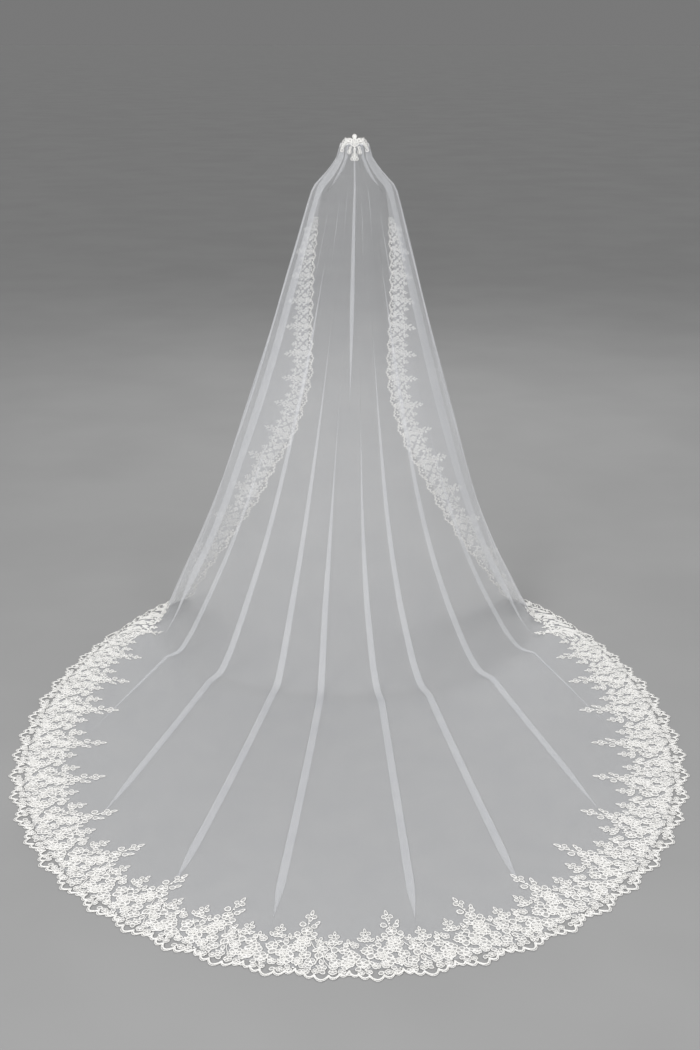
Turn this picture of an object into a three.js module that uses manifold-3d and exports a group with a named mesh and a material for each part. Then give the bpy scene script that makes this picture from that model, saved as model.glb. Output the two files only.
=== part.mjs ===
// Bridal veil, royal cathedral length, in its worn shape: one tier of tulle gathered on a hair comb,
// falling over the shoulders to the floor and out into a long oval train, with lace sewn round its edge.
// Millimetres, +Z up. The wearer faces +Y and the train lies toward -Y.
// The origin is the middle of the comb's bar, at the back of the head, where the wearer holds the veil.
import * as THREE from "three";
import { mergeVertices } from "three/addons/utils/BufferGeometryUtils.js";
import Module from "manifold-3d";

const wasm = await Module();
wasm.setup();

// ---- Driving sizes ------------------------------------------------------------------------------
const combHeight = 1750; // comb bar above the floor
const tulleWall = 1.3;
const laceWall = 1.3;
const seamGap = 0.4;
const degree = Math.PI / 180;

// Horizontal sections of the worn cloth, from the gathered header down to the floor.
// drop: below the comb. mid: Y of the widest line. half: half width there. back, front: depth from mid.
// edge: angle of the front edge round the section, 0 at the back. lean: the section's middle off the comb.
// fold, rise: a pleat's half width and height.
const sections = [
  { name: "header", drop: -6, mid: 18, half: 50, back: 20.2, front: 10, edge: 100, lean: 0, fold: 1.5, rise: 1.0 },
  { name: "crown", drop: 45, mid: 30, half: 66, back: 36, front: 42, edge: 112, lean: 0, fold: 2.2, rise: 1.3 },
  { name: "neck", drop: 95, mid: 46, half: 98, back: 60, front: 76, edge: 122, lean: 0, fold: 3.0, rise: 1.8 },
  { name: "shoulder", drop: 145, mid: 58, half: 143, back: 88, front: 98, edge: 131, lean: 0, fold: 4.0, rise: 2.4 },
  { name: "arm", drop: 205, mid: 62, half: 161, back: 102, front: 110, edge: 133, lean: -2, fold: 5.0, rise: 3.0 },
  { name: "bust", drop: 330, mid: 66, half: 195, back: 128, front: 124, edge: 135, lean: -5, fold: 6.5, rise: 3.6 },
  { name: "waist", drop: 500, mid: 70, half: 243, back: 165, front: 136, edge: 141.5, lean: -9, fold: 8.0, rise: 4.0 },
  { name: "hip", drop: 680, mid: 74, half: 293, back: 210, front: 146, edge: 148, lean: -13, fold: 9.0, rise: 4.4 },
  { name: "thigh", drop: 860, mid: 76, half: 347, back: 258, front: 156, edge: 153, lean: -18, fold: 10.0, rise: 4.8 },
  { name: "knee", drop: 1040, mid: 76, half: 404, back: 315, front: 168, edge: 150, lean: -24, fold: 11.0, rise: 5.0 },
  { name: "shin", drop: 1210, mid: 74, half: 460, back: 378, front: 186, edge: 141, lean: -29, fold: 12.0, rise: 5.0 },
  { name: "calf", drop: 1360, mid: 68, half: 517, back: 445, front: 212, edge: 134, lean: -32, fold: 12.5, rise: 5.0 },
  { name: "ankle", drop: 1490, mid: 58, half: 575, back: 515, front: 254, edge: 127.5, lean: -33, fold: 13.0, rise: 5.0 },
  { name: "instep", drop: 1600, mid: 46, half: 628, back: 580, front: 300, edge: 121, lean: -31, fold: 13.0, rise: 5.0 },
  { name: "toe", drop: 1690, mid: 34, half: 674, back: 636, front: 350, edge: 117.5, lean: -28, fold: 13.0, rise: 5.0 },
  { name: "floor", drop: 1738, mid: 22, half: 708, back: 680, front: 382, edge: 116.5, lean: -24, fold: 13.0, rise: 5.0 },
  { name: "landed", drop: combHeight, mid: 10, half: 742, back: 720, front: 400, edge: 116, lean: -20, fold: 13, rise: 5 },
];

// The train: the cloth runs flat from the landed section out to the cut edge of the oval hem.
// reach: share of the way out. edge: angle at which the rounded front corner meets that row.
const trainRows = [
  { reach: 0.2, edge: 111.5 },
  { reach: 0.42, edge: 106 },
  { reach: 0.62, edge: 101.5 },
  { reach: 0.76, edge: 97.5 },
  { reach: 0.85, edge: 94.5 },
  { reach: 0.93, edge: 91 },
  { reach: 1.0, edge: 86 },
];
const hem = { half: 1000, widest: -930, rear: 1224, fore: 1620, turn: 1.2, lean: -18 };

// Flattened pleats that run from the comb to the lace, by their angle round the sections
// at the comb (top), where the cloth lands (foot) and at the hem (tail).
const pleats = [
  { name: "left side", top: -45, foot: -73, tail: -74 },
  { name: "left flank", top: -38, foot: -62, tail: -59 },
  { name: "left wide", top: -25, foot: -40, tail: -42.5 },
  { name: "left near", top: -13, foot: -20.5, tail: -25 },
  { name: "left back", top: -4.5, foot: -7.5, tail: -10 },
  { name: "right back", top: 5, foot: 8.5, tail: 8.5 },
  { name: "right near", top: 14, foot: 21.5, tail: 24 },
  { name: "right wide", top: 26, foot: 42, tail: 43.5 },
  { name: "right flank", top: 40, foot: 65, tail: 60 },
  { name: "right side", top: 47, foot: 74, tail: 77 },
];
const pleatClear = 44; // a pleat has opened out flat at this distance from the lace's sprigs
const pleatFade = 60;
const sidePanels = 5; // columns of cloth from the last pleat to each front edge
const outerMargin = 5.5; // degrees beyond the front edge that the lace's scallops may reach

// Lace border, one repeat of its outline. along: share of a repeat.
// out: scallop beyond the tulle's cut edge. in: sprig height inward from it.
const laceRepeat = 256;
const laceOutline = [
  { along: 0.0, out: 26, in: 235 },
  { along: 0.08, out: 40, in: 165 },
  { along: 0.17, out: 46, in: 118 },
  { along: 0.25, out: 47, in: 108 },
  { along: 0.33, out: 46, in: 122 },
  { along: 0.42, out: 40, in: 145 },
  { along: 0.5, out: 26, in: 175 },
  { along: 0.58, out: 40, in: 140 },
  { along: 0.67, out: 46, in: 112 },
  { along: 0.75, out: 47, in: 108 },
  { along: 0.83, out: 46, in: 120 },
  { along: 0.92, out: 40, in: 165 },
];

// Width of the front-edge lace against the hem lace, by the row that it has reached.
const laceStart = 4.5; // the front lace begins half way from the arm section to the bust section
const frontLace = [
  { row: 4.5, scale: 0.34 },
  { row: 9, scale: 0.46 },
  { row: 12, scale: 0.6 },
  { row: 15, scale: 0.6 },
  { row: 18, scale: 0.6 },
  { row: 20.2, scale: 0.66 },
];
const cornerScale = 0.66; // the hem lace's width where it meets the front lace
const laceJoin = 20.2; // row at which the front lace meets the hem lace

// Crown lace over the comb: outline of the right half, x outward and z up. The left half is a mirror image.
const crownOutline = [
  { x: 0, z: 36 },
  { x: 7, z: 34 },
  { x: 9, z: 27 },
  { x: 6, z: 20 },
  { x: 20, z: 22 },
  { x: 36, z: 15 },
  { x: 47, z: 2 },
  { x: 54, z: -15 },
  { x: 52, z: -28 },
  { x: 45, z: -22 },
  { x: 38, z: -8 },
  { x: 31, z: -7 },
  { x: 27, z: -14 },
  { x: 24, z: -27 },
  { x: 17, z: -31 },
  { x: 12, z: -24 },
  { x: 10, z: -36 },
  { x: 8, z: -50 },
  { x: 0, z: -58 },
];
const crownLift = 4.6; // clear of the gathers beneath it
const crownWall = 2.0;

// Hair comb: a bar bent round the head with a row of teeth below it.
const comb = { width: 80, bar: 7, thick: 2.2, bend: 90, teeth: 13, tooth: 2.6, length: 24, tuck: 2.6 };

// ---- Drape ----------------------------------------------------------------------------------------
const landedRow = sections.length - 1;
const lastRow = landedRow + trainRows.length;

// One value of the section table at any row number, straight between the rows.
function sectionValue(key, row) {
  const at = Math.min(Math.max(row, 0), landedRow);
  const low = Math.min(Math.floor(at), landedRow - 1);
  return THREE.MathUtils.lerp(sections[low][key], sections[low + 1][key], at - low);
}

// The same for the train's rows, which carry on from the landed section.
function trainValue(key, start, row) {
  const values = [start, ...trainRows.map((r) => r[key])];
  const at = Math.max(row - landedRow, 0);
  const low = Math.min(Math.floor(at), values.length - 2);
  return THREE.MathUtils.lerp(values[low], values[low + 1], at - low);
}

function edgeAngle(row) {
  if (row <= landedRow) return sectionValue("edge", row);
  return trainValue("edge", sections[landedRow].edge, row);
}

function hemPoint(angle) {
  const turn = angle * hem.turn * degree;
  const depth = Math.cos(turn) >= 0 ? hem.rear : hem.fore;
  return new THREE.Vector3(hem.half * Math.sin(turn) + hem.lean, hem.widest - depth * Math.cos(turn), -combHeight);
}

function sectionPoint(angle, row) {
  const side = Math.sin(angle * degree);
  const along = Math.cos(angle * degree);
  const depth = sectionValue(along >= 0 ? "back" : "front", row);
  const y = sectionValue("mid", row) - depth * along;
  const x = sectionValue("half", row) * side + sectionValue("lean", row);
  return new THREE.Vector3(x, y, -sectionValue("drop", row));
}

// Any point of the draped cloth: the angle round the body and the row down the length.
function drape(angle, row) {
  if (row <= landedRow) return sectionPoint(angle, row);
  const reach = trainValue("reach", 0, row);
  return sectionPoint(angle, landedRow).lerp(hemPoint(angle), reach);
}

function slopes(angle, row) {
  const across = drape(angle + 0.5, row).sub(drape(angle - 0.5, row));
  const step = row > landedRow - 0.05 ? 0.05 : -0.05;
  const down = drape(angle, row + step).sub(drape(angle, row)).divideScalar(step);
  const normal = new THREE.Vector3().crossVectors(down, across).normalize();
  return { across, down, normal };
}

// Places along one half of the tulle's cut edge, from the shin round the corner to the middle of the hem,
// each with the depth of cloth that the lace takes there.
function cutEdgePlaces(side) {
  const places = [];
  for (let row = 10; row < lastRow; row += 0.25) places.push({ row, point: drape(side * edgeAngle(row), row) });
  for (let angle = edgeAngle(lastRow); angle >= 0; angle -= 1) {
    places.push({ row: lastRow, point: hemPoint(side * angle) });
  }
  let past = 0;
  places.forEach((place, k) => {
    if (place.row > laceJoin) past += place.point.distanceTo(places[k - 1].point);
    const share = Math.min(past / (2 * laceRepeat), 1);
    place.depth = laceOutline[0].in * THREE.MathUtils.lerp(cornerScale, 1, share) + pleatClear;
  });
  return places;
}
const cutEdge = [...cutEdgePlaces(-1), ...cutEdgePlaces(1)];

function pleatAngle(pleat, row) {
  if (row <= landedRow) return THREE.MathUtils.lerp(pleat.top, pleat.foot, row / landedRow);
  return THREE.MathUtils.lerp(pleat.foot, pleat.tail, trainValue("reach", 0, row));
}

// Height of a pleat at a place, fading out before the lace.
function pleatRise(angle, row) {
  const here = drape(angle, row);
  const left = Math.min(...cutEdge.map(({ point, depth }) => point.distanceTo(here) - depth));
  return sectionValue("rise", row) * THREE.MathUtils.clamp(left / pleatFade, 0, 1);
}

// ---- Tulle grid -----------------------------------------------------------------------------------
// Columns of one row: three to a pleat, one between pleats that are far apart, then the side panels.
function rowColumns(row) {
  const columns = [];
  const foldHalf = sectionValue("fold", row);
  pleats.forEach((pleat, i) => {
    const angle = pleatAngle(pleat, row);
    if (i > 0 && pleat.foot - pleats[i - 1].foot > 12) {
      columns.push({ angle: (angle + pleatAngle(pleats[i - 1], row)) / 2, rise: 0 });
    }
    const spread = foldHalf / slopes(angle, row).across.length();
    columns.push({ angle: angle - spread, rise: 0 });
    columns.push({ angle, rise: pleatRise(angle, row) });
    columns.push({ angle: angle + spread, rise: 0 });
  });
  const edge = edgeAngle(row);
  const first = columns[0].angle;
  const last = columns[columns.length - 1].angle;
  for (let k = 1; k <= sidePanels; k++) {
    columns.push({ angle: last + ((edge - last) * k) / sidePanels, rise: 0 });
    columns.unshift({ angle: first + ((-edge - first) * k) / sidePanels, rise: 0 });
  }
  columns.push({ angle: edge + outerMargin, rise: 0 });
  columns.unshift({ angle: -edge - outerMargin, rise: 0 });
  return columns;
}

// Grid of cloth points with one margin column past each front edge. Outward is away from the body.
const grid = [];
for (let row = 0; row <= lastRow; row++) {
  grid.push(
    rowColumns(row).map(({ angle, rise }) => {
      const { normal } = slopes(angle, row);
      return { point: drape(angle, row).addScaledVector(normal, rise), normal: new THREE.Vector3() };
    }),
  );
}
const columnCount = grid[0].length;

// The two facets of a grid cell. The left half is split the other way, so that the sides are mirror images.
function cellFaces(col, a, b, c, d) {
  if (col < (columnCount - 1) / 2) return [[a, d, b], [b, d, c]];
  return [[a, d, c], [a, c, b]];
}

function addFacetNormal(a, b, c) {
  const u = b.point.clone().sub(a.point);
  const v = c.point.clone().sub(a.point);
  const facet = u.cross(v).normalize();
  [a, b, c].forEach((corner) => corner.normal.add(facet));
}
for (let row = 0; row < lastRow; row++) {
  for (let col = 0; col < columnCount - 1; col++) {
    const [a, b] = [grid[row][col], grid[row][col + 1]];
    const [c, d] = [grid[row + 1][col + 1], grid[row + 1][col]];
    cellFaces(col, a, b, c, d).forEach(([u, v, w]) => addFacetNormal(u, v, w));
  }
}
grid.flat().forEach((g) => g.normal.normalize());

// ---- Walls ----------------------------------------------------------------------------------------
// A closed wall between two heights above the grid, over a block of its rows and columns.
function wallFromGrid(rows, cols, low, high) {
  const vertices = [];
  const wide = cols[1] - cols[0] + 1;
  const tall = rows[1] - rows[0] + 1;
  for (const height of [high, low]) {
    for (let row = rows[0]; row <= rows[1]; row++) {
      for (let col = cols[0]; col <= cols[1]; col++) {
        const { point, normal } = grid[row][col];
        vertices.push(point.clone().addScaledVector(normal, height));
      }
    }
  }
  return closedSheet(vertices, wide, tall, cols[0]);
}

// Closes a sheet given as its top points, then its bottom points, row by row.
function closedSheet(vertices, wide, tall, firstCol = 0) {
  const under = wide * tall;
  const faces = [];
  const at = (row, col) => row * wide + col;
  for (let row = 0; row < tall - 1; row++) {
    for (let col = 0; col < wide - 1; col++) {
      const [a, b, c, d] = [at(row, col), at(row, col + 1), at(row + 1, col + 1), at(row + 1, col)];
      for (const [u, v, w] of cellFaces(firstCol + col, a, b, c, d)) {
        faces.push(u, v, w, u + under, w + under, v + under);
      }
    }
  }
  const rim = [];
  for (let col = 0; col < wide; col++) rim.push(at(0, col));
  for (let row = 1; row < tall; row++) rim.push(at(row, wide - 1));
  for (let col = wide - 2; col >= 0; col--) rim.push(at(tall - 1, col));
  for (let row = tall - 2; row > 0; row--) rim.push(at(row, 0));
  rim.forEach((a, i) => {
    const b = rim[(i + 1) % rim.length];
    faces.push(a, b, b + under, a, b + under, a + under);
  });
  return geometryOf(vertices, faces);
}

function geometryOf(vertices, faces) {
  const geometry = new THREE.BufferGeometry();
  const flat = vertices.flatMap((v) => [v.x, v.y, v.z]);
  geometry.setAttribute("position", new THREE.Float32BufferAttribute(flat, 3));
  geometry.setIndex(faces);
  return geometry;
}

function solidOf(geometry) {
  const merged = mergeVertices(geometry, 1e-4);
  const vertProperties = new Float32Array(merged.attributes.position.array);
  const triVerts = new Uint32Array(merged.index.array);
  return new wasm.Manifold(new wasm.Mesh({ numProp: 3, vertProperties, triVerts }));
}

function geometryFromSolid(solid) {
  const mesh = solid.getMesh();
  const geometry = new THREE.BufferGeometry();
  const positions = new Float32Array(mesh.vertProperties);
  geometry.setAttribute("position", new THREE.BufferAttribute(positions, 3));
  geometry.setIndex(Array.from(mesh.triVerts));
  return geometry;
}

// ---- Lace border ----------------------------------------------------------------------------------
// Walks over the cloth from a place on its edge, square to the edge, by a distance inward.
function walkInward(angle, row, heading, distance) {
  const steps = Math.max(1, Math.ceil(Math.abs(distance) / 30));
  const stride = distance / steps;
  const place = { angle, row };
  const way = heading.clone();
  for (let k = 0; k < steps; k++) {
    const { across, down, normal } = slopes(place.angle, place.row);
    way.addScaledVector(normal, -way.dot(normal)).normalize();
    const [aa, ad, dd] = [across.dot(across), across.dot(down), down.dot(down)];
    const [wa, wd] = [way.dot(across), way.dot(down)];
    const spread = aa * dd - ad * ad;
    place.angle += (stride * (wa * dd - wd * ad)) / spread;
    place.row += (stride * (wd * aa - wa * ad)) / spread;
    place.row = THREE.MathUtils.clamp(place.row, 0.1, lastRow);
  }
  return place;
}

// Places along one front edge, evenly measured from the lace's start to where it meets the hem lace.
function edgeStations(side, spacing) {
  const fine = [];
  const count = 600;
  for (let k = 0; k <= count; k++) {
    const row = THREE.MathUtils.lerp(laceStart, laceJoin, k / count);
    fine.push({ row, point: drape(side * edgeAngle(row), row) });
  }
  let length = 0;
  const marks = fine.map((place, k) => {
    if (k > 0) length += place.point.distanceTo(fine[k - 1].point);
    return { row: place.row, length };
  });
  const stations = Math.round(length / spacing);
  const found = [];
  for (let k = 0; k <= stations; k++) {
    const wanted = (length * k) / stations;
    const i = Math.max(1, marks.findIndex((m) => m.length >= wanted - 1e-6));
    found.push({ row: marks[i].row, length: wanted });
  }
  return found;
}

function tableScale(row) {
  const last = frontLace[frontLace.length - 1];
  if (row >= last.row) return last.scale;
  const i = frontLace.findIndex((r) => r.row > row);
  const [low, high] = [frontLace[i - 1], frontLace[i]];
  return THREE.MathUtils.mapLinear(row, low.row, high.row, low.scale, high.scale);
}

// One front-edge lace: the cloth's own points moved out, cut to the scalloped outline.
function frontLaceSolid(side) {
  const stations = edgeStations(side, 64);
  const reach = 22;
  const tops = [];
  const bottoms = [];
  stations.forEach(({ row }, k) => {
    const step = row + 0.05 > laceJoin ? -0.05 : 0.05;
    const here = drape(side * edgeAngle(row), row);
    const next = drape(side * edgeAngle(row + step), row + step);
    const { normal } = slopes(side * edgeAngle(row), row);
    const tangent = next.sub(here).divideScalar(step).normalize();
    const heading = new THREE.Vector3().crossVectors(normal, tangent).multiplyScalar(-side);
    const outline = laceOutline[(k * 3) % laceOutline.length];
    const scale = tableScale(row);
    for (const distance of [outline.in * scale, 30 * scale, -outline.out * Math.sqrt(scale)]) {
      const place = walkInward(side * edgeAngle(row), row, heading, distance);
      const point = drape(place.angle, place.row);
      const out = slopes(place.angle, place.row).normal;
      tops.push(point.clone().addScaledVector(out, reach));
      bottoms.push(point.clone().addScaledVector(out, -reach));
    }
  });
  const geometry = closedSheet([...tops, ...bottoms], 3, stations.length);
  if (side < 0) flipFaces(geometry);
  const low = tulleWall + seamGap;
  const cols = side > 0 ? [columnCount - 7, columnCount - 1] : [0, 6];
  const shell = solidOf(wallFromGrid([Math.floor(laceStart) - 1, lastRow - 1], cols, low, low + laceWall));
  return largestBody(shell.intersect(solidOf(geometry)));
}

function largestBody(solid) {
  return solid.decompose().sort((a, b) => b.volume() - a.volume())[0];
}

function flipFaces(geometry) {
  const index = geometry.index.array;
  for (let i = 0; i < index.length; i += 3) {
    [index[i + 1], index[i + 2]] = [index[i + 2], index[i + 1]];
  }
}

// Hem lace: a flat scalloped band on the train, from one corner round the oval to the other.
function hemLaceGeometry() {
  const fine = [];
  const cornerRows = 120;
  for (let k = 1; k <= cornerRows; k++) {
    const row = THREE.MathUtils.lerp(laceJoin, lastRow, k / cornerRows);
    fine.push(drape(-edgeAngle(row), row));
  }
  const start = edgeAngle(lastRow);
  for (let k = 1; k <= 400; k++) fine.push(hemPoint(THREE.MathUtils.lerp(-start, start, k / 400)));
  for (let k = cornerRows - 1; k >= 1; k--) {
    const row = THREE.MathUtils.lerp(laceJoin, lastRow, k / cornerRows);
    fine.push(drape(edgeAngle(row), row));
  }
  const curve = new THREE.CurvePath();
  for (let k = 1; k < fine.length; k++) curve.add(new THREE.LineCurve3(fine[k - 1], fine[k]));
  const repeats = Math.round(curve.getLength() / laceRepeat);
  const base = -combHeight + tulleWall + seamGap;
  const tops = [];
  const bottoms = [];
  const total = repeats * laceOutline.length;
  for (let k = 0; k <= total; k++) {
    const share = THREE.MathUtils.clamp(k / total, 0.0006, 0.9994);
    const here = curve.getPoint(share);
    const ahead = curve.getPoint(share + 0.0005).sub(curve.getPoint(share - 0.0005)).normalize();
    const inward = new THREE.Vector3(-ahead.y, ahead.x, 0);
    const outline = laceOutline[k % laceOutline.length];
    const end = THREE.MathUtils.lerp(cornerScale, 1, Math.min(1, Math.min(k, total - k) / 24));
    for (const distance of [outline.in * end, -outline.out]) {
      const spot = here.clone().addScaledVector(inward, distance);
      tops.push(new THREE.Vector3(spot.x, spot.y, base + laceWall));
      bottoms.push(new THREE.Vector3(spot.x, spot.y, base));
    }
  }
  const geometry = closedSheet([...tops, ...bottoms], 2, total + 1);
  flipFaces(geometry);
  return geometry;
}

// ---- Crown lace -----------------------------------------------------------------------------------
// Its sheet lies a little outside the gathered header and bends forward over the head above it.
function crownPoint(x, z, lift) {
  const row = THREE.MathUtils.clamp((-z + 6) / 51, 0, 1);
  const half = sectionValue("half", row) + lift;
  const depth = sectionValue("back", row) + lift;
  const bend = Math.max(z, 0) ** 2 / 170;
  const y = sectionValue("mid", row) - depth * Math.sqrt(1 - (x / half) ** 2) + bend;
  return new THREE.Vector3(x, y, z);
}

function crownLaceSolid() {
  const [wide, tall] = [11, 8];
  const vertices = [];
  for (const lift of [crownLift + crownWall, crownLift]) {
    for (let row = 0; row < tall; row++) {
      for (let col = 0; col < wide; col++) {
        const x = THREE.MathUtils.lerp(-54.5, 54.5, col / (wide - 1));
        vertices.push(crownPoint(x, THREE.MathUtils.lerp(40, -62, row / (tall - 1)), lift));
      }
    }
  }
  const right = crownOutline.map(({ x, z }) => new THREE.Vector2(x, z));
  const left = crownOutline.slice(1, -1).map(({ x, z }) => new THREE.Vector2(-x, z));
  const shape = new THREE.Shape([...right, ...left.reverse()]);
  const cutter = new THREE.ExtrudeGeometry(shape, { depth: 90, bevelEnabled: false });
  cutter.rotateX(Math.PI / 2).translate(0, 50, 0);
  cutter.deleteAttribute("normal");
  cutter.deleteAttribute("uv");
  return solidOf(closedSheet(vertices, wide, tall)).intersect(solidOf(cutter));
}

// ---- Comb -----------------------------------------------------------------------------------------
function combGeometry() {
  const shape = new THREE.Shape();
  const half = comb.width / 2;
  const pitch = (comb.width - comb.tooth) / (comb.teeth - 1);
  shape.moveTo(-half, comb.bar / 2);
  for (let k = 0; k < comb.teeth; k++) {
    const x = -half + k * pitch;
    shape.lineTo(x, -comb.bar / 2);
    shape.lineTo(x + 0.5, -comb.bar / 2 - comb.length);
    shape.lineTo(x + comb.tooth - 0.5, -comb.bar / 2 - comb.length);
    shape.lineTo(x + comb.tooth, -comb.bar / 2);
  }
  for (let k = comb.teeth; k >= 1; k--) shape.lineTo(THREE.MathUtils.lerp(-half, half, k / comb.teeth), comb.bar / 2);
  const geometry = new THREE.ExtrudeGeometry(shape, { depth: comb.thick, bevelEnabled: false });
  const spots = geometry.attributes.position;
  for (let i = 0; i < spots.count; i++) {
    const [x, z, through] = [spots.getX(i), spots.getY(i), spots.getZ(i) - comb.thick / 2];
    const radius = comb.bend - through;
    const below = Math.max(-comb.bar / 2 - z, 0) / comb.length;
    const y = comb.bend - radius * Math.cos(x / comb.bend) + comb.tuck * below;
    spots.setXYZ(i, radius * Math.sin(x / comb.bend), y, z);
  }
  geometry.deleteAttribute("normal");
  geometry.deleteAttribute("uv");
  const solid = mergeVertices(geometry, 1e-4);
  flipFaces(solid);
  return solid;
}

// ---- Assembly -------------------------------------------------------------------------------------
const tulleFinish = new THREE.MeshStandardMaterial({ color: "#e8ebf0", roughness: 0.9, metalness: 0 });
const laceFinish = new THREE.MeshStandardMaterial({ color: "#f5f2ec", roughness: 0.85, metalness: 0 });
const combFinish = new THREE.MeshStandardMaterial({ color: "#c9ccd0", roughness: 0.3, metalness: 0.9 });

const veil = new THREE.Group();
veil.name = "bridal_veil";

function addPiece(name, geometry, finish) {
  const piece = new THREE.Mesh(geometry, finish);
  piece.name = name;
  veil.add(piece);
}

addPiece("tulle_panel", wallFromGrid([0, lastRow], [1, columnCount - 2], 0, tulleWall), tulleFinish);
addPiece("front_lace_left", geometryFromSolid(frontLaceSolid(-1)), laceFinish);
addPiece("front_lace_right", geometryFromSolid(frontLaceSolid(1)), laceFinish);
addPiece("hem_lace", hemLaceGeometry(), laceFinish);
addPiece("crown_lace", geometryFromSolid(crownLaceSolid()), laceFinish);
addPiece("hair_comb", combGeometry(), combFinish);

export default veil;
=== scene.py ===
"""Bridal veil of royal cathedral length, in its worn and spread shape.

One tier of tulle is gathered on a hair comb, falls over the shoulders to the floor and runs out into an
oval train. Corded floral lace is sewn round its edge and a small lace applique covers the comb.
Metres, +Z up, origin at the middle of the comb's bar. Tables are in millimetres, as a maker writes them.
"""

import logging
import math
from dataclasses import dataclass, field
from enum import Enum

import bpy
import numpy as np
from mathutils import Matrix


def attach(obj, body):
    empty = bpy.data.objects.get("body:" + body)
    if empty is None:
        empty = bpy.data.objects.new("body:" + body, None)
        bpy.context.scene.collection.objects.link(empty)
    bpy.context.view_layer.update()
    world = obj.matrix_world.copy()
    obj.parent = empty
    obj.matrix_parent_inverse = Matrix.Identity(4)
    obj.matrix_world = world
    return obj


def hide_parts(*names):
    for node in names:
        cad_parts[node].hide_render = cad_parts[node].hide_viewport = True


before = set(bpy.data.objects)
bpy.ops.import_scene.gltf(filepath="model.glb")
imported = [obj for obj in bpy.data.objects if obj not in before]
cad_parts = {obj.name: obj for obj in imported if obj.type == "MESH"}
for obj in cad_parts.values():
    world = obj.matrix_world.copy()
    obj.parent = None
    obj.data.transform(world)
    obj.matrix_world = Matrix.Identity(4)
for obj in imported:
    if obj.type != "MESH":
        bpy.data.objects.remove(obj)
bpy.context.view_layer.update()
MM = 0.001
LOG = logging.getLogger("veil")


# ---- Small tools ------------------------------------------------------------------------------------
def smooth(values: np.ndarray, at: np.ndarray) -> np.ndarray:
    """A curve through evenly numbered values, without overshoot.

    The slope at a value is the harmonic mean of the steps on its two sides, or 0 where they turn back.

    Args:
        values: one value per row number.
        at: row numbers, whole or not.

    Returns:
        The curve's values.
    """
    values = np.asarray(values, float)
    at = np.clip(at, 0, len(values) - 1)
    step = np.diff(values)
    before, after = step[:-1], step[1:]
    same = before * after > 0
    total = np.where(same, before + after, 1.0)
    slope = np.concatenate([step[:1], np.where(same, 2 * before * after / total, 0.0), step[-1:]])
    low = np.minimum(np.asarray(at).astype(int), len(values) - 2)
    u = at - low
    rise = values[low + 1] - values[low]
    bend = 3 * rise - 2 * slope[low] - slope[low + 1]
    return values[low] + u * (slope[low] + u * (bend + u * (slope[low] + slope[low + 1] - 2 * rise)))


def ease(low: float, high: float, x: np.ndarray) -> np.ndarray:
    """A soft step from 0 at low to 1 at high.

    Args:
        low: where the step starts.
        high: where it ends.
        x: places to read it at.

    Returns:
        Values from 0 to 1.
    """
    u = np.clip((x - low) / (high - low), 0, 1)
    return u * u * (3 - 2 * u)


def unit(v: np.ndarray) -> np.ndarray:
    """Vectors at length 1.

    Args:
        v: vectors along the last axis.

    Returns:
        The same directions, each of length 1.
    """
    return v / np.maximum(np.linalg.norm(v, axis=-1, keepdims=True), 1e-9)


def grid_faces(rows: int, cols: int) -> np.ndarray:
    """Quads of a grid of points numbered row by row.

    Args:
        rows: rows of points.
        cols: points in a row.

    Returns:
        One row of four point numbers per quad.
    """
    first = (np.arange(rows - 1)[:, None] * cols + np.arange(cols - 1)[None, :]).ravel()
    return np.stack([first, first + 1, first + cols + 1, first + cols], 1)


def mesh_piece(
    name: str,
    points: np.ndarray,
    faces: np.ndarray,
    uv: np.ndarray,
    materials: list[bpy.types.Material],
    slots: np.ndarray | None = None,
) -> bpy.types.Object:
    """Makes one object from whole arrays and rides it on the body.

    Args:
        name: the piece's name.
        points: places in metres, one per row.
        faces: point numbers, one face per row.
        uv: cloth coordinates in metres, one per point.
        materials: the finishes, in slot order.
        slots: the slot of each face, or None for all 0.

    Returns:
        The new object.
    """
    mesh = bpy.data.meshes.new(name)
    mesh.vertices.add(len(points))
    mesh.vertices.foreach_set("co", np.asarray(points, np.float32).ravel())
    mesh.loops.add(faces.size)
    mesh.loops.foreach_set("vertex_index", faces.astype(np.int32).ravel())
    mesh.polygons.add(len(faces))
    mesh.polygons.foreach_set("loop_start", np.arange(0, faces.size, faces.shape[1], dtype=np.int32))
    mesh.polygons.foreach_set("use_smooth", np.ones(len(faces), bool))
    for material in materials:
        mesh.materials.append(material)
    if slots is not None:
        mesh.polygons.foreach_set("material_index", slots.astype(np.int32))
    layer = mesh.uv_layers.new(name="cloth")
    layer.data.foreach_set("uv", np.asarray(uv, np.float32)[faces.ravel()].ravel())
    mesh.update()
    mesh.validate()
    piece = bpy.data.objects.new(name, mesh)
    bpy.context.scene.collection.objects.link(piece)
    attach(piece, "root")
    return piece


# ---- Drape ------------------------------------------------------------------------------------------
@dataclass(frozen=True)
class Section:
    """One level section of the worn cloth.

    drop is below the comb, mid the Y of the widest line, half the half width there, back and front the
    depths from mid, edge the front edge's angle round the section, lean the middle's X and fold a pleat's
    half width.
    """

    name: str
    drop: float
    mid: float
    half: float
    back: float
    front: float
    edge: float
    lean: float
    fold: float


@dataclass(frozen=True)
class TrainRow:
    """One row of the train: its share of the way out, and the angle where the rounded corner meets it."""

    reach: float
    edge: float


@dataclass(frozen=True)
class Hem:
    """The oval cut edge of the train.

    half is its half width, widest the Y of its widest line, rear and fore the depths behind and before
    that line, turn its degrees for one degree of the cloth, lean its middle's X and floor the drop from the
    comb to the floor.
    """

    half: float = 1000
    widest: float = -930
    rear: float = 1224
    fore: float = 1620
    turn: float = 1.2
    lean: float = -18
    floor: float = 1750


@dataclass(frozen=True)
class SoftFold:
    """A soft rounded fold: its place as a share of the way to the front edge, its size, and its rows."""

    share: float
    width: float
    height: float
    start: float
    end: float


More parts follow.
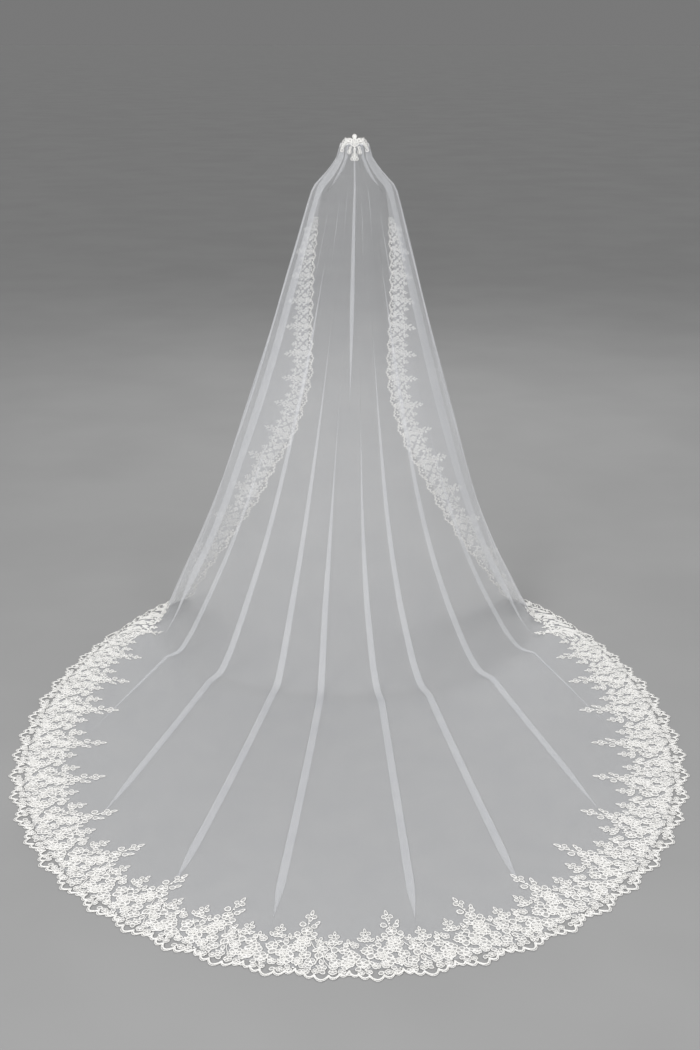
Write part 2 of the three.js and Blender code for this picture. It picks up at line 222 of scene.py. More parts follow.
SECTIONS = (
    Section("header", -6, 18, 47, 20.2, 10, 100, 0, 1.5),
    Section("crown", 45, 30, 62, 36, 42, 112, 0, 2.2),
    Section("neck", 95, 46, 98, 60, 76, 122, 0, 3.0),
    Section("shoulder", 145, 58, 143, 88, 98, 131, 0, 4.0),
    Section("arm", 205, 62, 161, 102, 110, 133, -2, 5.0),
    Section("bust", 330, 66, 195, 128, 124, 135, -5, 6.5),
    Section("waist", 500, 70, 243, 165, 136, 141.5, -9, 8.0),
    Section("hip", 680, 74, 293, 210, 146, 148, -13, 9.0),
    Section("thigh", 860, 76, 347, 258, 156, 153, -18, 10.0),
    Section("knee", 1040, 76, 404, 315, 168, 150, -24, 11.0),
    Section("shin", 1210, 74, 460, 378, 186, 141, -29, 12.0),
    Section("calf", 1360, 68, 517, 445, 212, 134, -32, 12.5),
    Section("ankle", 1490, 58, 575, 515, 254, 127.5, -33, 13.0),
    Section("instep", 1600, 46, 628, 580, 300, 121, -31, 13.0),
    Section("toe", 1690, 34, 674, 636, 350, 117.5, -28, 13.0),
    Section("floor", 1738, 22, 708, 680, 382, 116.5, -24, 13.0),
    Section("landed", 1750, 10, 742, 720, 400, 116, -20, 13.0),
)
TRAIN = (
    TrainRow(0.0, 116),
    TrainRow(0.2, 111.5),
    TrainRow(0.42, 106),
    TrainRow(0.62, 101.5),
    TrainRow(0.76, 97.5),
    TrainRow(0.85, 94.5),
    TrainRow(0.93, 91),
    TrainRow(1.0, 86),
)
SOFT_FOLDS = (
    SoftFold(-0.93, 24, 7, 5, 14),
    SoftFold(-0.84, 16, 5, 3, 12),
    SoftFold(-0.77, 30, 9, 6, 15),
    SoftFold(-0.69, 18, 6, 4, 13),
    SoftFold(-0.57, 26, 7, 5, 15),
    SoftFold(-0.42, 20, 4, 4, 12),
    SoftFold(-0.27, 26, 5, 3, 11),
    SoftFold(-0.11, 18, 4, 2, 9),
    SoftFold(0.13, 20, 4, 2, 8),
    SoftFold(0.29, 28, 5, 3, 12),
    SoftFold(0.45, 18, 4, 4, 11),
    SoftFold(0.59, 28, 7, 5, 15),
    SoftFold(0.70, 16, 6, 3, 12),
    SoftFold(0.79, 32, 9, 6, 15),
    SoftFold(0.87, 18, 5, 4, 13),
    SoftFold(0.95, 24, 6, 6, 14),
)


@dataclass
class Drape:
    """The worn cloth's form: any point from its angle round the body and its row down the length.

    Rows are numbered through SECTIONS and on through TRAIN. straight is how nearly straight the form is
    above corner_rows, where the shoulder's corner ends. A soft fold has its height times fold_scale, and
    grows and fades over fold_grows and fold_fades rows. The front edges flutter inside flutter_reach of the
    cut edge, and the gathers die away over gather_rows.
    """

    hem: Hem = Hem()
    straight: float = 0.85
    corner_rows: tuple[float, float] = (3.4, 4.3)
    fold_scale: float = 0.7
    fold_grows: float = 3.0
    fold_fades: tuple[float, float] = (-3.5, 0.8)
    flutter_height: float = 4.5
    flutter_reach: float = 90.0
    flutter_from: tuple[float, float] = (5, 8)
    flutter_to: tuple[float, float] = (11, 14.5)
    gather_height: float = 1.2
    gather_rows: float = 1.1
    degree_step: float = 0.5
    row_step: float = 0.05
    first_row: float = 0.1

    def __post_init__(self) -> None:
        """Reads the tables."""
        self.landed = len(SECTIONS) - 1
        self.last = self.landed + len(TRAIN) - 1
        keys = ("drop", "mid", "half", "back", "front", "edge", "lean", "fold")
        self.table = {k: np.array([getattr(s, k) for s in SECTIONS], float) for k in keys}
        self.reaches = np.array([t.reach for t in TRAIN])
        self.train_edges = np.array([t.edge for t in TRAIN])

    def value(self, key: str, row: np.ndarray) -> np.ndarray:
        """One size of the sections at any row.

        It is a smooth curve through the table, but nearly straight above the arm, so that the shoulder has
        a corner.

        Args:
            key: the column's name.
            row: row numbers.

        Returns:
            The size in millimetres or degrees.
        """
        direct = np.interp(row, np.arange(len(SECTIONS)), self.table[key])
        share = self.straight * (1 - ease(*self.corner_rows, row))
        return smooth(self.table[key], row) * (1 - share) + direct * share

    def reach(self, row: np.ndarray) -> np.ndarray:
        """Share of the way from the landed section to the hem."""
        return smooth(self.reaches, np.asarray(row, float) - self.landed)

    def edge(self, row: np.ndarray) -> np.ndarray:
        """Angle of the cut edge at a row, on either side.

        Args:
            row: row numbers.

        Returns:
            Degrees from the middle of the back.
        """
        row = np.asarray(row, float)
        above = self.value("edge", row)
        return np.where(row <= self.landed, above, smooth(self.train_edges, row - self.landed))

    def hem_point(self, angle: np.ndarray) -> np.ndarray:
        """A place on the oval cut edge, from half ovals behind and before its widest line.

        Args:
            angle: degrees round the body.

        Returns:
            Places in millimetres.
        """
        hem, turn = self.hem, np.radians(angle * self.hem.turn)
        depth = np.where(np.cos(turn) >= 0, hem.rear, hem.fore)
        x = hem.half * np.sin(turn) + hem.lean
        y = hem.widest - depth * np.cos(turn)
        return np.stack([x, y, np.full_like(x, -hem.floor)], -1)

    def point(self, angle: np.ndarray, row: np.ndarray) -> np.ndarray:
        """A place on the plain form, without its folds.

        Down to the landed row it is on an oval section: x from the sine of the angle, y from its cosine.
        Past it, it is on a straight line from the landed section to the oval hem.

        Args:
            angle: degrees round the body, 0 at the back, positive to +X.
            row: row numbers.

        Returns:
            Places in millimetres.
        """
        angle, row = np.broadcast_arrays(np.asarray(angle, float), np.asarray(row, float))
        side, along = np.sin(np.radians(angle)), np.cos(np.radians(angle))
        depth = np.where(along >= 0, self.value("back", row), self.value("front", row))
        x = self.value("half", row) * side + self.value("lean", row)
        y = self.value("mid", row) - depth * along
        ring = np.stack([x, y, -self.value("drop", row)], -1)
        reach = np.where(row > self.landed, self.reach(row), 0.0)[..., None]
        return ring + reach * (self.hem_point(angle) - ring)

    def slopes(self, angle: np.ndarray, row: np.ndarray) -> tuple[np.ndarray, np.ndarray, np.ndarray]:
        """How the plain form runs, from differences of near places.

        Args:
            angle: degrees round the body.
            row: row numbers.

        Returns:
            The run across per degree, the run down per row, and the outward normal.
        """
        across = self.point(angle + self.degree_step, row) - self.point(angle - self.degree_step, row)
        at_hem = row > self.last - 1.2 * self.row_step
        step = np.where(at_hem, -self.row_step, self.row_step)
        down = (self.point(angle, row + step) - self.point(angle, row)) / step[..., None]
        return across, down, unit(np.cross(down, across))

    def swell(self, angle: np.ndarray, row: np.ndarray) -> np.ndarray:
        """How far the soft folds stand out from the plain form.

        Each fold is a rounded ridge that grows and dies away along its rows. The free front edges
        flutter a little, and tight gathers stand just under the comb.

        Args:
            angle: degrees round the body.
            row: row numbers.

        Returns:
            Heights in millimetres.
        """
        edge = self.edge(row)
        girth = np.radians(edge) * (self.value("half", row) + self.value("back", row)) / 2
        share = angle / edge
        height = np.zeros(np.broadcast(angle, row).shape)
        before, after = self.fold_fades
        for fold in SOFT_FOLDS:
            grown = ease(fold.start, fold.start + self.fold_grows, row)
            lasting = grown * (1 - ease(fold.end + before, fold.end + after, row))
            ridge = np.exp(-(((share - fold.share) * girth / fold.width) ** 2))
            height = height + self.fold_scale * fold.height * lasting * ridge
        free = (1 - np.abs(share)) * girth
        hand = np.sign(angle)
        beat = np.sin(row * 2.3 + hand) + 0.6 * np.sin(row * 4.1 + 2 * hand)
        loose = np.exp(-((free / self.flutter_reach) ** 2))
        along = ease(*self.flutter_from, row) * (1 - ease(*self.flutter_to, row))
        flutter = self.flutter_height * beat * loose * along
        fading = np.exp(-np.maximum(row, 0) / self.gather_rows)
        tight = self.gather_height * fading * np.cos(angle * 1.02 + 2 * np.sin(angle * 0.21))
        return height + flutter + tight

    def cloth(self, angle: np.ndarray, row: np.ndarray, lift: np.ndarray) -> np.ndarray:
        """A place on the folded cloth.

        Args:
            angle: degrees round the body.
            row: row numbers.
            lift: height above the cloth's inner face.

        Returns:
            Places in millimetres.
        """
        angle, row = np.broadcast_arrays(np.asarray(angle, float), np.asarray(row, float))
        normal = self.slopes(angle, row)[2]
        return self.point(angle, row) + normal * (lift + self.swell(angle, row))[..., None]

    def walk(
        self, angle: np.ndarray, row: np.ndarray, heading: np.ndarray, stride: float, steps: int
    ) -> tuple[np.ndarray, np.ndarray]:
        """Walks over the cloth from places on its edge, keeping straight on.

        Each step is laid into the surface, then solved for its share of the runs across and down.

        Args:
            angle: start angles.
            row: start rows.
            heading: start directions.
            stride: length of one step.
            steps: how many steps.

        Returns:
            Angles and rows after each step, with the start first.
        """
        angle, row, way = angle.copy(), row.copy(), heading.copy()
        angles, rows = [angle.copy()], [row.copy()]
        for _ in range(steps):
            across, down, normal = self.slopes(angle, row)
            way = unit(way - normal * (way * normal).sum(-1, keepdims=True))
            aa, ad, dd = (across**2).sum(-1), (across * down).sum(-1), (down**2).sum(-1)
            wa, wd = (way * across).sum(-1), (way * down).sum(-1)
            area = aa * dd - ad * ad
            angle = angle + stride * (wa * dd - wd * ad) / area
            row = np.clip(row + stride * (wd * aa - wa * ad) / area, self.first_row, self.last)
            angles.append(angle)
            rows.append(row)
        return np.stack(angles, -1), np.stack(rows, -1)


# ---- Finishes ---------------------------------------------------------------------------------------
class Nodes:
    """Builds one node material, with its Principled shader ready."""

    def __init__(self, name: str) -> None:
        """Starts the material.

        Args:
            name: the finish's name.
        """
        self.material = bpy.data.materials.new(name)
        self.material.use_nodes = True
        self.tree = self.material.node_tree
        self.shader = next(n for n in self.tree.nodes if n.type == "BSDF_PRINCIPLED")

    def add(self, kind: str, **facts: object) -> bpy.types.Node:
        """Adds a node.

        Args:
            kind: the node's type.
            **facts: values by name. One that names an input sets it, and the others set the node itself.

        Returns:
            The node.
        """
        node = self.tree.nodes.new(kind)
        for key, value in facts.items():
            label = key.replace("_", " ").title()
            if label in node.inputs:
                node.inputs[label].default_value = value
            else:
                setattr(node, key, value)
        return node

    def link(self, source: bpy.types.NodeSocket, target: bpy.types.NodeSocket) -> None:
        """Joins an output to an input."""
        self.tree.links.new(source, target)

    def ramp(
        self, source: bpy.types.NodeSocket, low: tuple, high: tuple, start: float, end: float
    ) -> bpy.types.NodeSocket:
        """A colour that runs from one to another.

        Args:
            source: the value it follows.
            low: the colour at start.
            high: the colour at end.
            start: where it leaves the low colour.
            end: where it reaches the high one.

        Returns:
            The colour's socket.
        """
        node = self.add("ShaderNodeValToRGB")
        first, second = node.color_ramp.elements
        first.position, second.position = start, end
        first.color, second.color = (*low, 1), (*high, 1)
        self.link(source, node.inputs[0])
        return node.outputs["Color"]

    def span(self, source: bpy.types.NodeSocket, low: float, high: float) -> bpy.types.NodeSocket:
        """A value that runs from low to high as the source runs from 0 to 1.

        Args:
            source: the value it follows.
            low: its value at 0.
            high: its value at 1.

        Returns:
            The value's socket.
        """
        node = self.add("ShaderNodeMapRange")
        node.inputs["To Min"].default_value = low
        node.inputs["To Max"].default_value = high
        self.link(source, node.inputs["Value"])
        return node.outputs["Result"]

    def bump(self, source: bpy.types.NodeSocket, strength: float, distance: float) -> None:
        """Raises the surface by a height map.

        Args:
            source: the height, from 0 to 1.
            strength: how much of it shows.
            distance: its rise in metres.
        """
        node = self.add("ShaderNodeBump", strength=strength, distance=distance)
        self.link(source, node.inputs["Height"])
        self.link(node.outputs["Normal"], self.shader.inputs["Normal"])


NET_CELLS = 500
NET_UNEVEN = 0.35
NET_THREAD = (0.04, 0.16)


def net_weave() -> bpy.types.NodeTree:
    """The woven net that the tulle and the lace's ground share.

    Cells are the regions round evenly set points. A thread lies where the way to a cell's border is short.

    Returns:
        A node group with a cloth coordinate and a cell count per metre in, and the thread mask out.
    """
    tree = bpy.data.node_groups.get("net_weave")
    if tree:
        return tree
    tree = bpy.data.node_groups.new("net_weave", "ShaderNodeTree")
    tree.interface.new_socket("Cloth", in_out="INPUT", socket_type="NodeSocketVector")
    cells = tree.interface.new_socket("Cells", in_out="INPUT", socket_type="NodeSocketFloat")
    cells.default_value = NET_CELLS
    tree.interface.new_socket("Threads", in_out="OUTPUT", socket_type="NodeSocketFloat")
    inward, outward = tree.nodes.new("NodeGroupInput"), tree.nodes.new("NodeGroupOutput")
    cell = tree.nodes.new("ShaderNodeTexVoronoi")
    cell.feature, cell.voronoi_dimensions = "DISTANCE_TO_EDGE", "2D"
    cell.inputs["Randomness"].default_value = NET_UNEVEN
    thread = tree.nodes.new("ShaderNodeMapRange")
    thread.interpolation_type = "SMOOTHSTEP"
    for name, value in zip(("From Min", "From Max", "To Min", "To Max"), (*NET_THREAD, 1.0, 0.0)):
        thread.inputs[name].default_value = value
    tree.links.new(inward.outputs["Cloth"], cell.inputs["Vector"])
    tree.links.new(inward.outputs["Cells"], cell.inputs["Scale"])
    tree.links.new(cell.outputs["Distance"], thread.inputs["Value"])
    tree.links.new(thread.outputs["Result"], outward.inputs["Threads"])
    return tree


@dataclass(frozen=True)
class NetFinish:
    """A sheer net: its colours, how much it hides between and at its threads, and its cells per metre.

    Seen edge on it hides more, by edge_on. A higher steepness keeps that nearer to the rim.
    """

    name: str
    shade: tuple
    light: tuple
    hole: float
    thread: float
    cells: float
    edge_on: float = 0.45
    steepness: float = 4.0
    cloud: float = 9.0
    roughness: tuple[float, float] = (0.7, 0.95)
    relief: tuple[float, float] = (0.25, 0.0003)
    sheen: float = 0.35
    sheen_roughness: float = 0.4
    specular: float = 0.25

    def material(self) -> bpy.types.Material:
        """Makes the finish.

        Returns:
            The material.
        """
        made = Nodes(self.name)
        cloth = made.add("ShaderNodeTexCoord").outputs["UV"]
        weave = made.add("ShaderNodeGroup")
        weave.node_tree = net_weave()
        weave.inputs["Cells"].default_value = self.cells
        made.link(cloth, weave.inputs["Cloth"])
        cloud = made.add("ShaderNodeTexNoise", scale=self.cloud, detail=3.0)
        made.link(cloth, cloud.inputs["Vector"])
        colour = made.ramp(cloud.outputs["Fac"], self.shade, self.light, 0.3, 0.7)
        made.link(colour, made.shader.inputs["Base Color"])
        slant = made.add("ShaderNodeLayerWeight", blend=0.5)
        steep = made.add("ShaderNodeMath", operation="POWER")
        steep.inputs[1].default_value = self.steepness
        made.link(slant.outputs["Facing"], steep.inputs[0])
        cover = made.add("ShaderNodeMath", operation="MULTIPLY_ADD", use_clamp=True)
        cover.inputs[1].default_value = self.edge_on
        made.link(steep.outputs[0], cover.inputs[0])
        made.link(made.span(weave.outputs["Threads"], self.hole, self.thread), cover.inputs[2])
        made.link(cover.outputs[0], made.shader.inputs["Alpha"])
        made.link(made.span(cloud.outputs["Fac"], *self.roughness), made.shader.inputs["Roughness"])
        made.bump(weave.outputs["Threads"], *self.relief)
        made.shader.inputs["Sheen Weight"].default_value = self.sheen
        made.shader.inputs["Sheen Roughness"].default_value = self.sheen_roughness
        made.shader.inputs["Specular IOR Level"].default_value = self.specular
        return made.material


@dataclass(frozen=True)
class CordFinish:
    """Satin-stitched lace cord: warm white thread with a fine twist."""

    name: str
    shade: tuple
    light: tuple
    twist: float
    patch: float = 60.0
    roughness: tuple[float, float] = (0.55, 0.8)
    relief: tuple[float, float] = (0.4, 0.0004)
    sheen: float = 0.25

    def material(self) -> bpy.types.Material:
        """Makes the finish.

        Returns:
            The material.
        """
        made = Nodes(self.name)
        cloth = made.add("ShaderNodeTexCoord").outputs["UV"]
        thread = made.add("ShaderNodeTexWave", scale=self.twist, distortion=2.5, detail=2.0)
        patch = made.add("ShaderNodeTexNoise", scale=self.patch, detail=3.0)
        made.link(cloth, thread.inputs["Vector"])
        made.link(cloth, patch.inputs["Vector"])
        colour = made.ramp(patch.outputs["Fac"], self.shade, self.light, 0.35, 0.65)
        made.link(colour, made.shader.inputs["Base Color"])
        made.link(made.span(thread.outputs["Fac"], *self.roughness), made.shader.inputs["Roughness"])
        made.bump(thread.outputs["Fac"], *self.relief)
        made.shader.inputs["Sheen Weight"].default_value = self.sheen
        return made.material


@dataclass(frozen=True)
class MetalFinish:
    """Plated comb wire, with a faint drawn grain and dulling from handling."""

    name: str
    shade: tuple
    light: tuple
    wear: float = 220.0
    roughness: tuple[float, float] = (0.18, 0.38)
    relief: tuple[float, float] = (0.1, 0.0002)

    def material(self) -> bpy.types.Material:
        """Makes the finish.

        Returns:
            The material.
        """
        made = Nodes(self.name)
        place = made.add("ShaderNodeTexCoord").outputs["Object"]
        wear = made.add("ShaderNodeTexNoise", scale=self.wear, detail=4.0)
        made.link(place, wear.inputs["Vector"])
        colour = made.ramp(wear.outputs["Fac"], self.shade, self.light, 0.3, 0.7)
        made.link(colour, made.shader.inputs["Base Color"])
        made.link(made.span(wear.outputs["Fac"], *self.roughness), made.shader.inputs["Roughness"])
        made.bump(wear.outputs["Fac"], *self.relief)
        made.shader.inputs["Metallic"].default_value = 1.0
        return made.material


TULLE = NetFinish("soft tulle", (0.83, 0.845, 0.88), (0.90, 0.91, 0.935), 0.09, 0.40, 520)
LACE_NET = NetFinish("lace ground net", (0.87, 0.86, 0.84), (0.95, 0.94, 0.92), 0.16, 0.56, 420)
LACE_CORD = CordFinish("lace cord", (0.87, 0.86, 0.83), (0.97, 0.96, 0.94), 900)
COMB_METAL = MetalFinish("comb metal", (0.62, 0.63, 0.65), (0.82, 0.83, 0.85))


# ---- Veil panel -------------------------------------------------------------------------------------
@dataclass(frozen=True)
class Pleat:
    """A flattened fold of the panel: three layers of cloth, which opens out flat towards the lace.

    Angles are at the comb, where the cloth lands and at the hem. Its width is against the section's fold:
    high is over the back and width is on the train. It opens from its start row and has died away by its
    end row.
    """

    top: float
    foot: float
    tail: float
    high: float
    width: float
    start: float
    end: float


PLEATS = (
    Pleat(-97, -103, -88, 0.45, 0.35, 2, 12),
    Pleat(-87, -95, -86, 0.80, 0.55, 1, 14),
    Pleat(-77, -86, -81, 0.50, 0.40, 0, 13),
    Pleat(-52, -75, -74, 2.30, 1.30, -1, 24),
    Pleat(-29, -61, -59, 0.60, 0.95, 6, 24),
    Pleat(-25, -51, -50, 0.25, 0.25, 3, 7),
    Pleat(-20, -40, -42.5, 0.60, 0.95, 4, 24),
    Pleat(-15, -29, -33, 0.22, 0.22, 2.5, 6.5),
    Pleat(-11, -20.5, -25, 0.50, 0.90, 5, 24),
    Pleat(-7.5, -14, -17, 0.20, 0.20, 2, 6),
    Pleat(-4, -7.5, -10, 0.50, 0.85, 6, 24),
    Pleat(0.3, 0.4, 0.4, 0.85, 0.40, -1, 9),
    Pleat(4.5, 8.5, 8.5, 0.50, 0.85, 6, 24),
    Pleat(8, 15, 17, 0.20, 0.20, 2.5, 6.5),
    Pleat(11.5, 21.5, 24, 0.50, 0.90, 5, 24),
    Pleat(16, 31, 34, 0.22, 0.22, 2, 6),
    Pleat(21, 42, 43.5, 0.60, 0.95, 4, 24),
    Pleat(26, 53, 52, 0.25, 0.25, 3, 7.5),
    Pleat(30, 64, 60, 0.60, 0.95, 6, 24),
    Pleat(53, 76, 77, 2.30, 1.30, -1, 24),
    Pleat(78, 88, 84, 0.50, 0.40, 0, 13),
    Pleat(88, 96, 89, 0.80, 0.55, 1, 14),
    Pleat(98, 104, 92, 0.45, 0.35, 2, 12),
)


# The way through a pleat: across in half widths, and up in layers.
FOLD_PATH = np.array(
    [
        (-1.7, 0.0), (-0.7, 0.0), (0.3, 0.0), (0.92, 0.08), (1.06, 0.4), (0.92, 0.75), (0.0, 0.95),
        (-0.92, 1.15), (-1.06, 1.5), (-0.92, 1.85), (0.0, 2.05), (0.9, 1.9), (1.5, 1.0), (2.1, 0.0),
    ]
)  # fmt: skip


@dataclass
class VeilPanel:
    """The tulle panel, as one thin sheet with its folds laid in one by one.

    spacing is from row to row down the back, between the columns from pleat to pleat and beyond those past
    the last one. Layers of a pleat lie layer_gap apart where it is wider than full_gap. A pleat wider than
    wing_size widens by wing over wing_rows, and takes its train width over train_rows. It lies open where
    the room to the lace, which is lace_depth wide, is less than opening. The sheet's width and length are
    measured as it is built.
    """

    drape: Drape
    spacing: float = 24.0
    between: int = 5
    beyond: int = 8
    layer_gap: float = 1.3
    full_gap: float = 2.5
    wing: float = 1.5
    wing_size: float = 2.0
    wing_rows: tuple[float, float] = (2.0, 3.8)
    train_rows: tuple[float, float] = (8, 15)
    fading_rows: float = 3.0
    lace_depth: float = 230.0
    opening: tuple[float, float] = (-130, 110)
    lace_from: float = 10.0
    lift: float = 0.65
    off_floor: float = 0.0004
    width: float = field(default=0.0, init=False)
    length: float = field(default=0.0, init=False)

    def rows(self) -> np.ndarray:
        """Row numbers evenly measured down the middle of the back.

        Returns:
            The row numbers.
        """
        fine = np.linspace(0, self.drape.last, 2400)
        line = self.drape.point(np.zeros_like(fine), fine)
        length = np.concatenate([[0], np.cumsum(np.linalg.norm(np.diff(line, axis=0), axis=1))])
        count = int(length[-1] / self.spacing)
        return np.interp(np.linspace(0, length[-1], count + 1), length, fine)

    def edge_room(self, angle: np.ndarray, row: np.ndarray) -> np.ndarray:
        """Distance of places from the cut edge, less what the lace takes there.

        Args:
            angle: degrees round the body.
            row: row numbers.

        Returns:
            Millimetres to the lace, below 0 where it has begun.
        """
        edge_rows = np.linspace(self.lace_from, self.drape.last, 60)
        hem_angles = np.linspace(-TRAIN[-1].edge, TRAIN[-1].edge, 120)
        sides = [self.drape.point(side * self.drape.edge(edge_rows), edge_rows) for side in (-1, 1)]
        line = np.concatenate([*sides, self.drape.hem_point(hem_angles)])
        here = self.drape.point(angle, row)
        return np.linalg.norm(here[:, None] - line[None], axis=2).min(1) - self.lace_depth

    def fold_columns(self, pleat: Pleat, row: np.ndarray) -> tuple[np.ndarray, np.ndarray]:
        """The cloth's path over one pleat: forward, back under itself and forward again.

        The widest pleat of each side spreads into a wing above the shoulder.

        Args:
            pleat: the pleat.
            row: row numbers.

        Returns:
            Angles and heights, a row of them for each row number.
        """
        drape = self.drape
        upper = pleat.top + (pleat.foot - pleat.top) * np.minimum(row / drape.landed, 1)
        angle = upper + (pleat.tail - pleat.foot) * np.where(row > drape.landed, drape.reach(row), 0)
        across = np.linalg.norm(drape.slopes(angle, row)[0], axis=-1)
        grown = ease(pleat.start, pleat.start + max(2, pleat.start), row)
        lasting = grown * (1 - ease(pleat.end - self.fading_rows, pleat.end, row))
        laid = (lasting * ease(*self.opening, self.edge_room(angle, row)))[:, None]
        width = pleat.high + (pleat.width - pleat.high) * ease(*self.train_rows, row)
        if pleat.high > self.wing_size:
            width = width * (1 + self.wing * (1 - ease(*self.wing_rows, row)))
        half = (drape.value("fold", row) * width)[:, None]
        turned = FOLD_PATH if pleat.foot < 0 else FOLD_PATH[::-1] * (-1, 1)
        opened = np.linspace(turned[0, 0], turned[-1, 0], len(turned))
        path = laid * turned[:, 0] + (1 - laid) * opened
        height = self.layer_gap * laid * np.minimum(half / self.full_gap, 1)
        return angle[:, None] + half * path / across[:, None], height * turned[:, 1]

    def build(self) -> bpy.types.Object:
        """Makes the sheet: plain columns between the pleats' own, and the cloth's measured run as its UV map.

        Returns:
            The panel.
        """
        drape, row = self.drape, self.rows()
        edge = drape.edge(row)
        angles, lifts = [-edge[:, None]], [np.zeros((len(row), 1))]
        previous = -edge
        shares = np.arange(1, self.between + 1) / (self.between + 1)
        for pleat in PLEATS:
            fold_angles, fold_lifts = self.fold_columns(pleat, row)
            angles.append(previous[:, None] + (fold_angles[:, :1] - previous[:, None]) * shares)
            lifts.append(np.zeros((len(row), self.between)))
            angles.append(fold_angles)
            lifts.append(fold_lifts)
            previous = fold_angles[:, -1]
        shares = np.arange(1, self.beyond + 1) / self.beyond
        angles.append(previous[:, None] + (edge - previous)[:, None] * shares)
        lifts.append(np.zeros((len(row), self.beyond)))
        angle, lift = np.concatenate(angles, 1), np.concatenate(lifts, 1)
        limit = edge[:, None]
        angle = np.clip(angle, -limit, limit)
        points = drape.cloth(angle, np.broadcast_to(row[:, None], angle.shape), lift + self.lift) * MM
        points[..., 2] = np.maximum(points[..., 2], -drape.hem.floor * MM + self.off_floor)
        across = np.linalg.norm(np.diff(points, axis=1), axis=2).cumsum(1)
        u = np.concatenate([np.zeros((len(row), 1)), across], 1)
        u = u - u[:, -1:] / 2
        down = np.linalg.norm(np.diff(points, axis=0), axis=2).cumsum(0)
        v = np.concatenate([np.zeros((1, angle.shape[1])), down], 0)
        self.width, self.length = float(2 * u.max()), float(np.median(v[-1]))
        faces = grid_faces(*angle.shape)[:, ::-1]
        uv = np.stack([u, v], -1).reshape(-1, 2)
        piece = mesh_piece("veil_tulle", points.reshape(-1, 3), faces, uv, [TULLE.material()])
        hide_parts("tulle_panel")
        return piece


# ---- Lace motifs ------------------------------------------------------------------------------------
CORD, NET = 0, 1


@dataclass
class Patch:
    """A small stretch of lace: points (along, inward, height) in millimetres, triangles, and their slots."""

    points: np.ndarray
    faces: np.ndarray
    slots: np.ndarray

    @staticmethod
    def join(patches: list["Patch"]) -> "Patch":
        """Joins several into one.

        Args:
            patches: the patches.

        Returns:
            One patch, with their points and faces in order.
        """
        starts = np.cumsum([0] + [len(p.points) for p in patches[:-1]])
        points = np.concatenate([p.points for p in patches])
        faces = np.concatenate([p.faces + start for p, start in zip(patches, starts)])
        return Patch(points, faces, np.concatenate([p.slots for p in patches]))

    def placed(self, along: float, inward: float, turn: float = 0.0, lift: float = 0.0) -> "Patch":
        """A copy that is turned and moved.

        Args:
            along: place along the lace.
            inward: place in from the cut edge.
            turn: degrees, anticlockwise.
            lift: height added.

        Returns:
            The copy.
        """
        c, s = math.cos(math.radians(turn)), math.sin(math.radians(turn))
        x, y, h = self.points.T
        moved = np.stack([along + (c * x - s * y), inward + (s * x + c * y), h + lift], 1)
        return Patch(moved, self.faces, self.slots)


def ring_faces(count: int, low: int, high: int) -> np.ndarray:
    """Triangles between two closed rings of points.

    Args:
        count: points in a ring.
        low: number of the outer ring's first point.
        high: number of the inner ring's first point.

    Returns:
        One row of three point numbers per triangle.
    """
    k = np.arange(count)
    n = (k + 1) % count
    first = np.stack([low + k, low + n, high + n], 1)
    return np.concatenate([first, np.stack([low + k, high + n, high + k], 1)])


# A petal's cord from its foot to its inner edge: share of its width, and height. Then the net's height.
RIM = ((0.0, 0.2), (0.5, 1.7), (1.0, 0.5))
SUNK = 0.8


def egg(length: float, width: float, tip: float, rim: float, count: int = 8) -> Patch:
    """A petal or leaf that points inward: a raised cord round a sunk net.

    Its outline runs out by (1 - cos) / 2 of its length and to the side by sin (1 - tip cos) of its half
    width. A tip above 0 makes it broad at the end, and one below 0 pointed.

    Args:
        length: its length.
        width: its width.
        tip: where it is broad.
        rim: width of its cord.
        count: points round it.

    Returns:
        The patch.
    """
    t = 2 * np.pi * np.arange(count) / count
    out = length * (1 - np.cos(t)) / 2
    side = width / 2 * np.sin(t) * (1 - tip * np.cos(t))
    rings = []
    for share, height in RIM:
        keep = 1 - 2 * rim * share / width
        inward = length / 2 + (out - length / 2) * keep
        rings.append(np.stack([side * keep, inward, np.full(count, height)], 1))
    points = np.concatenate([*rings, [(0.0, length / 2, SUNK)]])
    k = np.arange(count)
    fill = np.stack([2 * count + k, 2 * count + (k + 1) % count, np.full(count, 3 * count)], 1)
    faces = np.concatenate([ring_faces(count, 0, count), ring_faces(count, count, 2 * count), fill])
    return Patch(points, faces, np.repeat([CORD, NET], [4 * count, count]))


def dome(radius: float, height: float, count: int = 6, foot: float = 0.6) -> Patch:
    """A stitched knot: a circle of points with one raised in its middle.

    Args:
        radius: its radius.
        height: height of its middle.
        count: points round it.
        foot: height of its edge.

    Returns:
        The patch.
    """
    t = 2 * np.pi * np.arange(count) / count
    ring = np.stack([radius * np.cos(t), radius * np.sin(t), np.full(count, foot)], 1)
    k = np.arange(count)
    faces = np.stack([k, (k + 1) % count, np.full(count, count)], 1)
    return Patch(np.concatenate([ring, [(0, 0, height)]]), faces, np.full(count, CORD))


def flower(radius: float, petals: int = 5) -> Patch:
    """An open flower: broad petals turned evenly round a knot, every other one a little higher.

    Args:
        radius: from its middle to about the petals' ends.
        petals: how many.

    Returns:
        The patch.
    """
    length, width, rim, broad = radius * 0.92, radius * 5.2 / petals, radius * 0.2, 0.28
    knot, knot_height, out, higher = radius * 0.24, 2.6, radius * 0.1, 0.2
    petal = egg(length, width, broad, rim=rim)
    ring = [petal.placed(0, out, 0, higher * (k % 2)) for k in range(petals)]
    turned = [p.placed(0, 0, 360 * k / petals) for k, p in enumerate(ring)]
    return Patch.join([*turned, dome(knot, knot_height)])


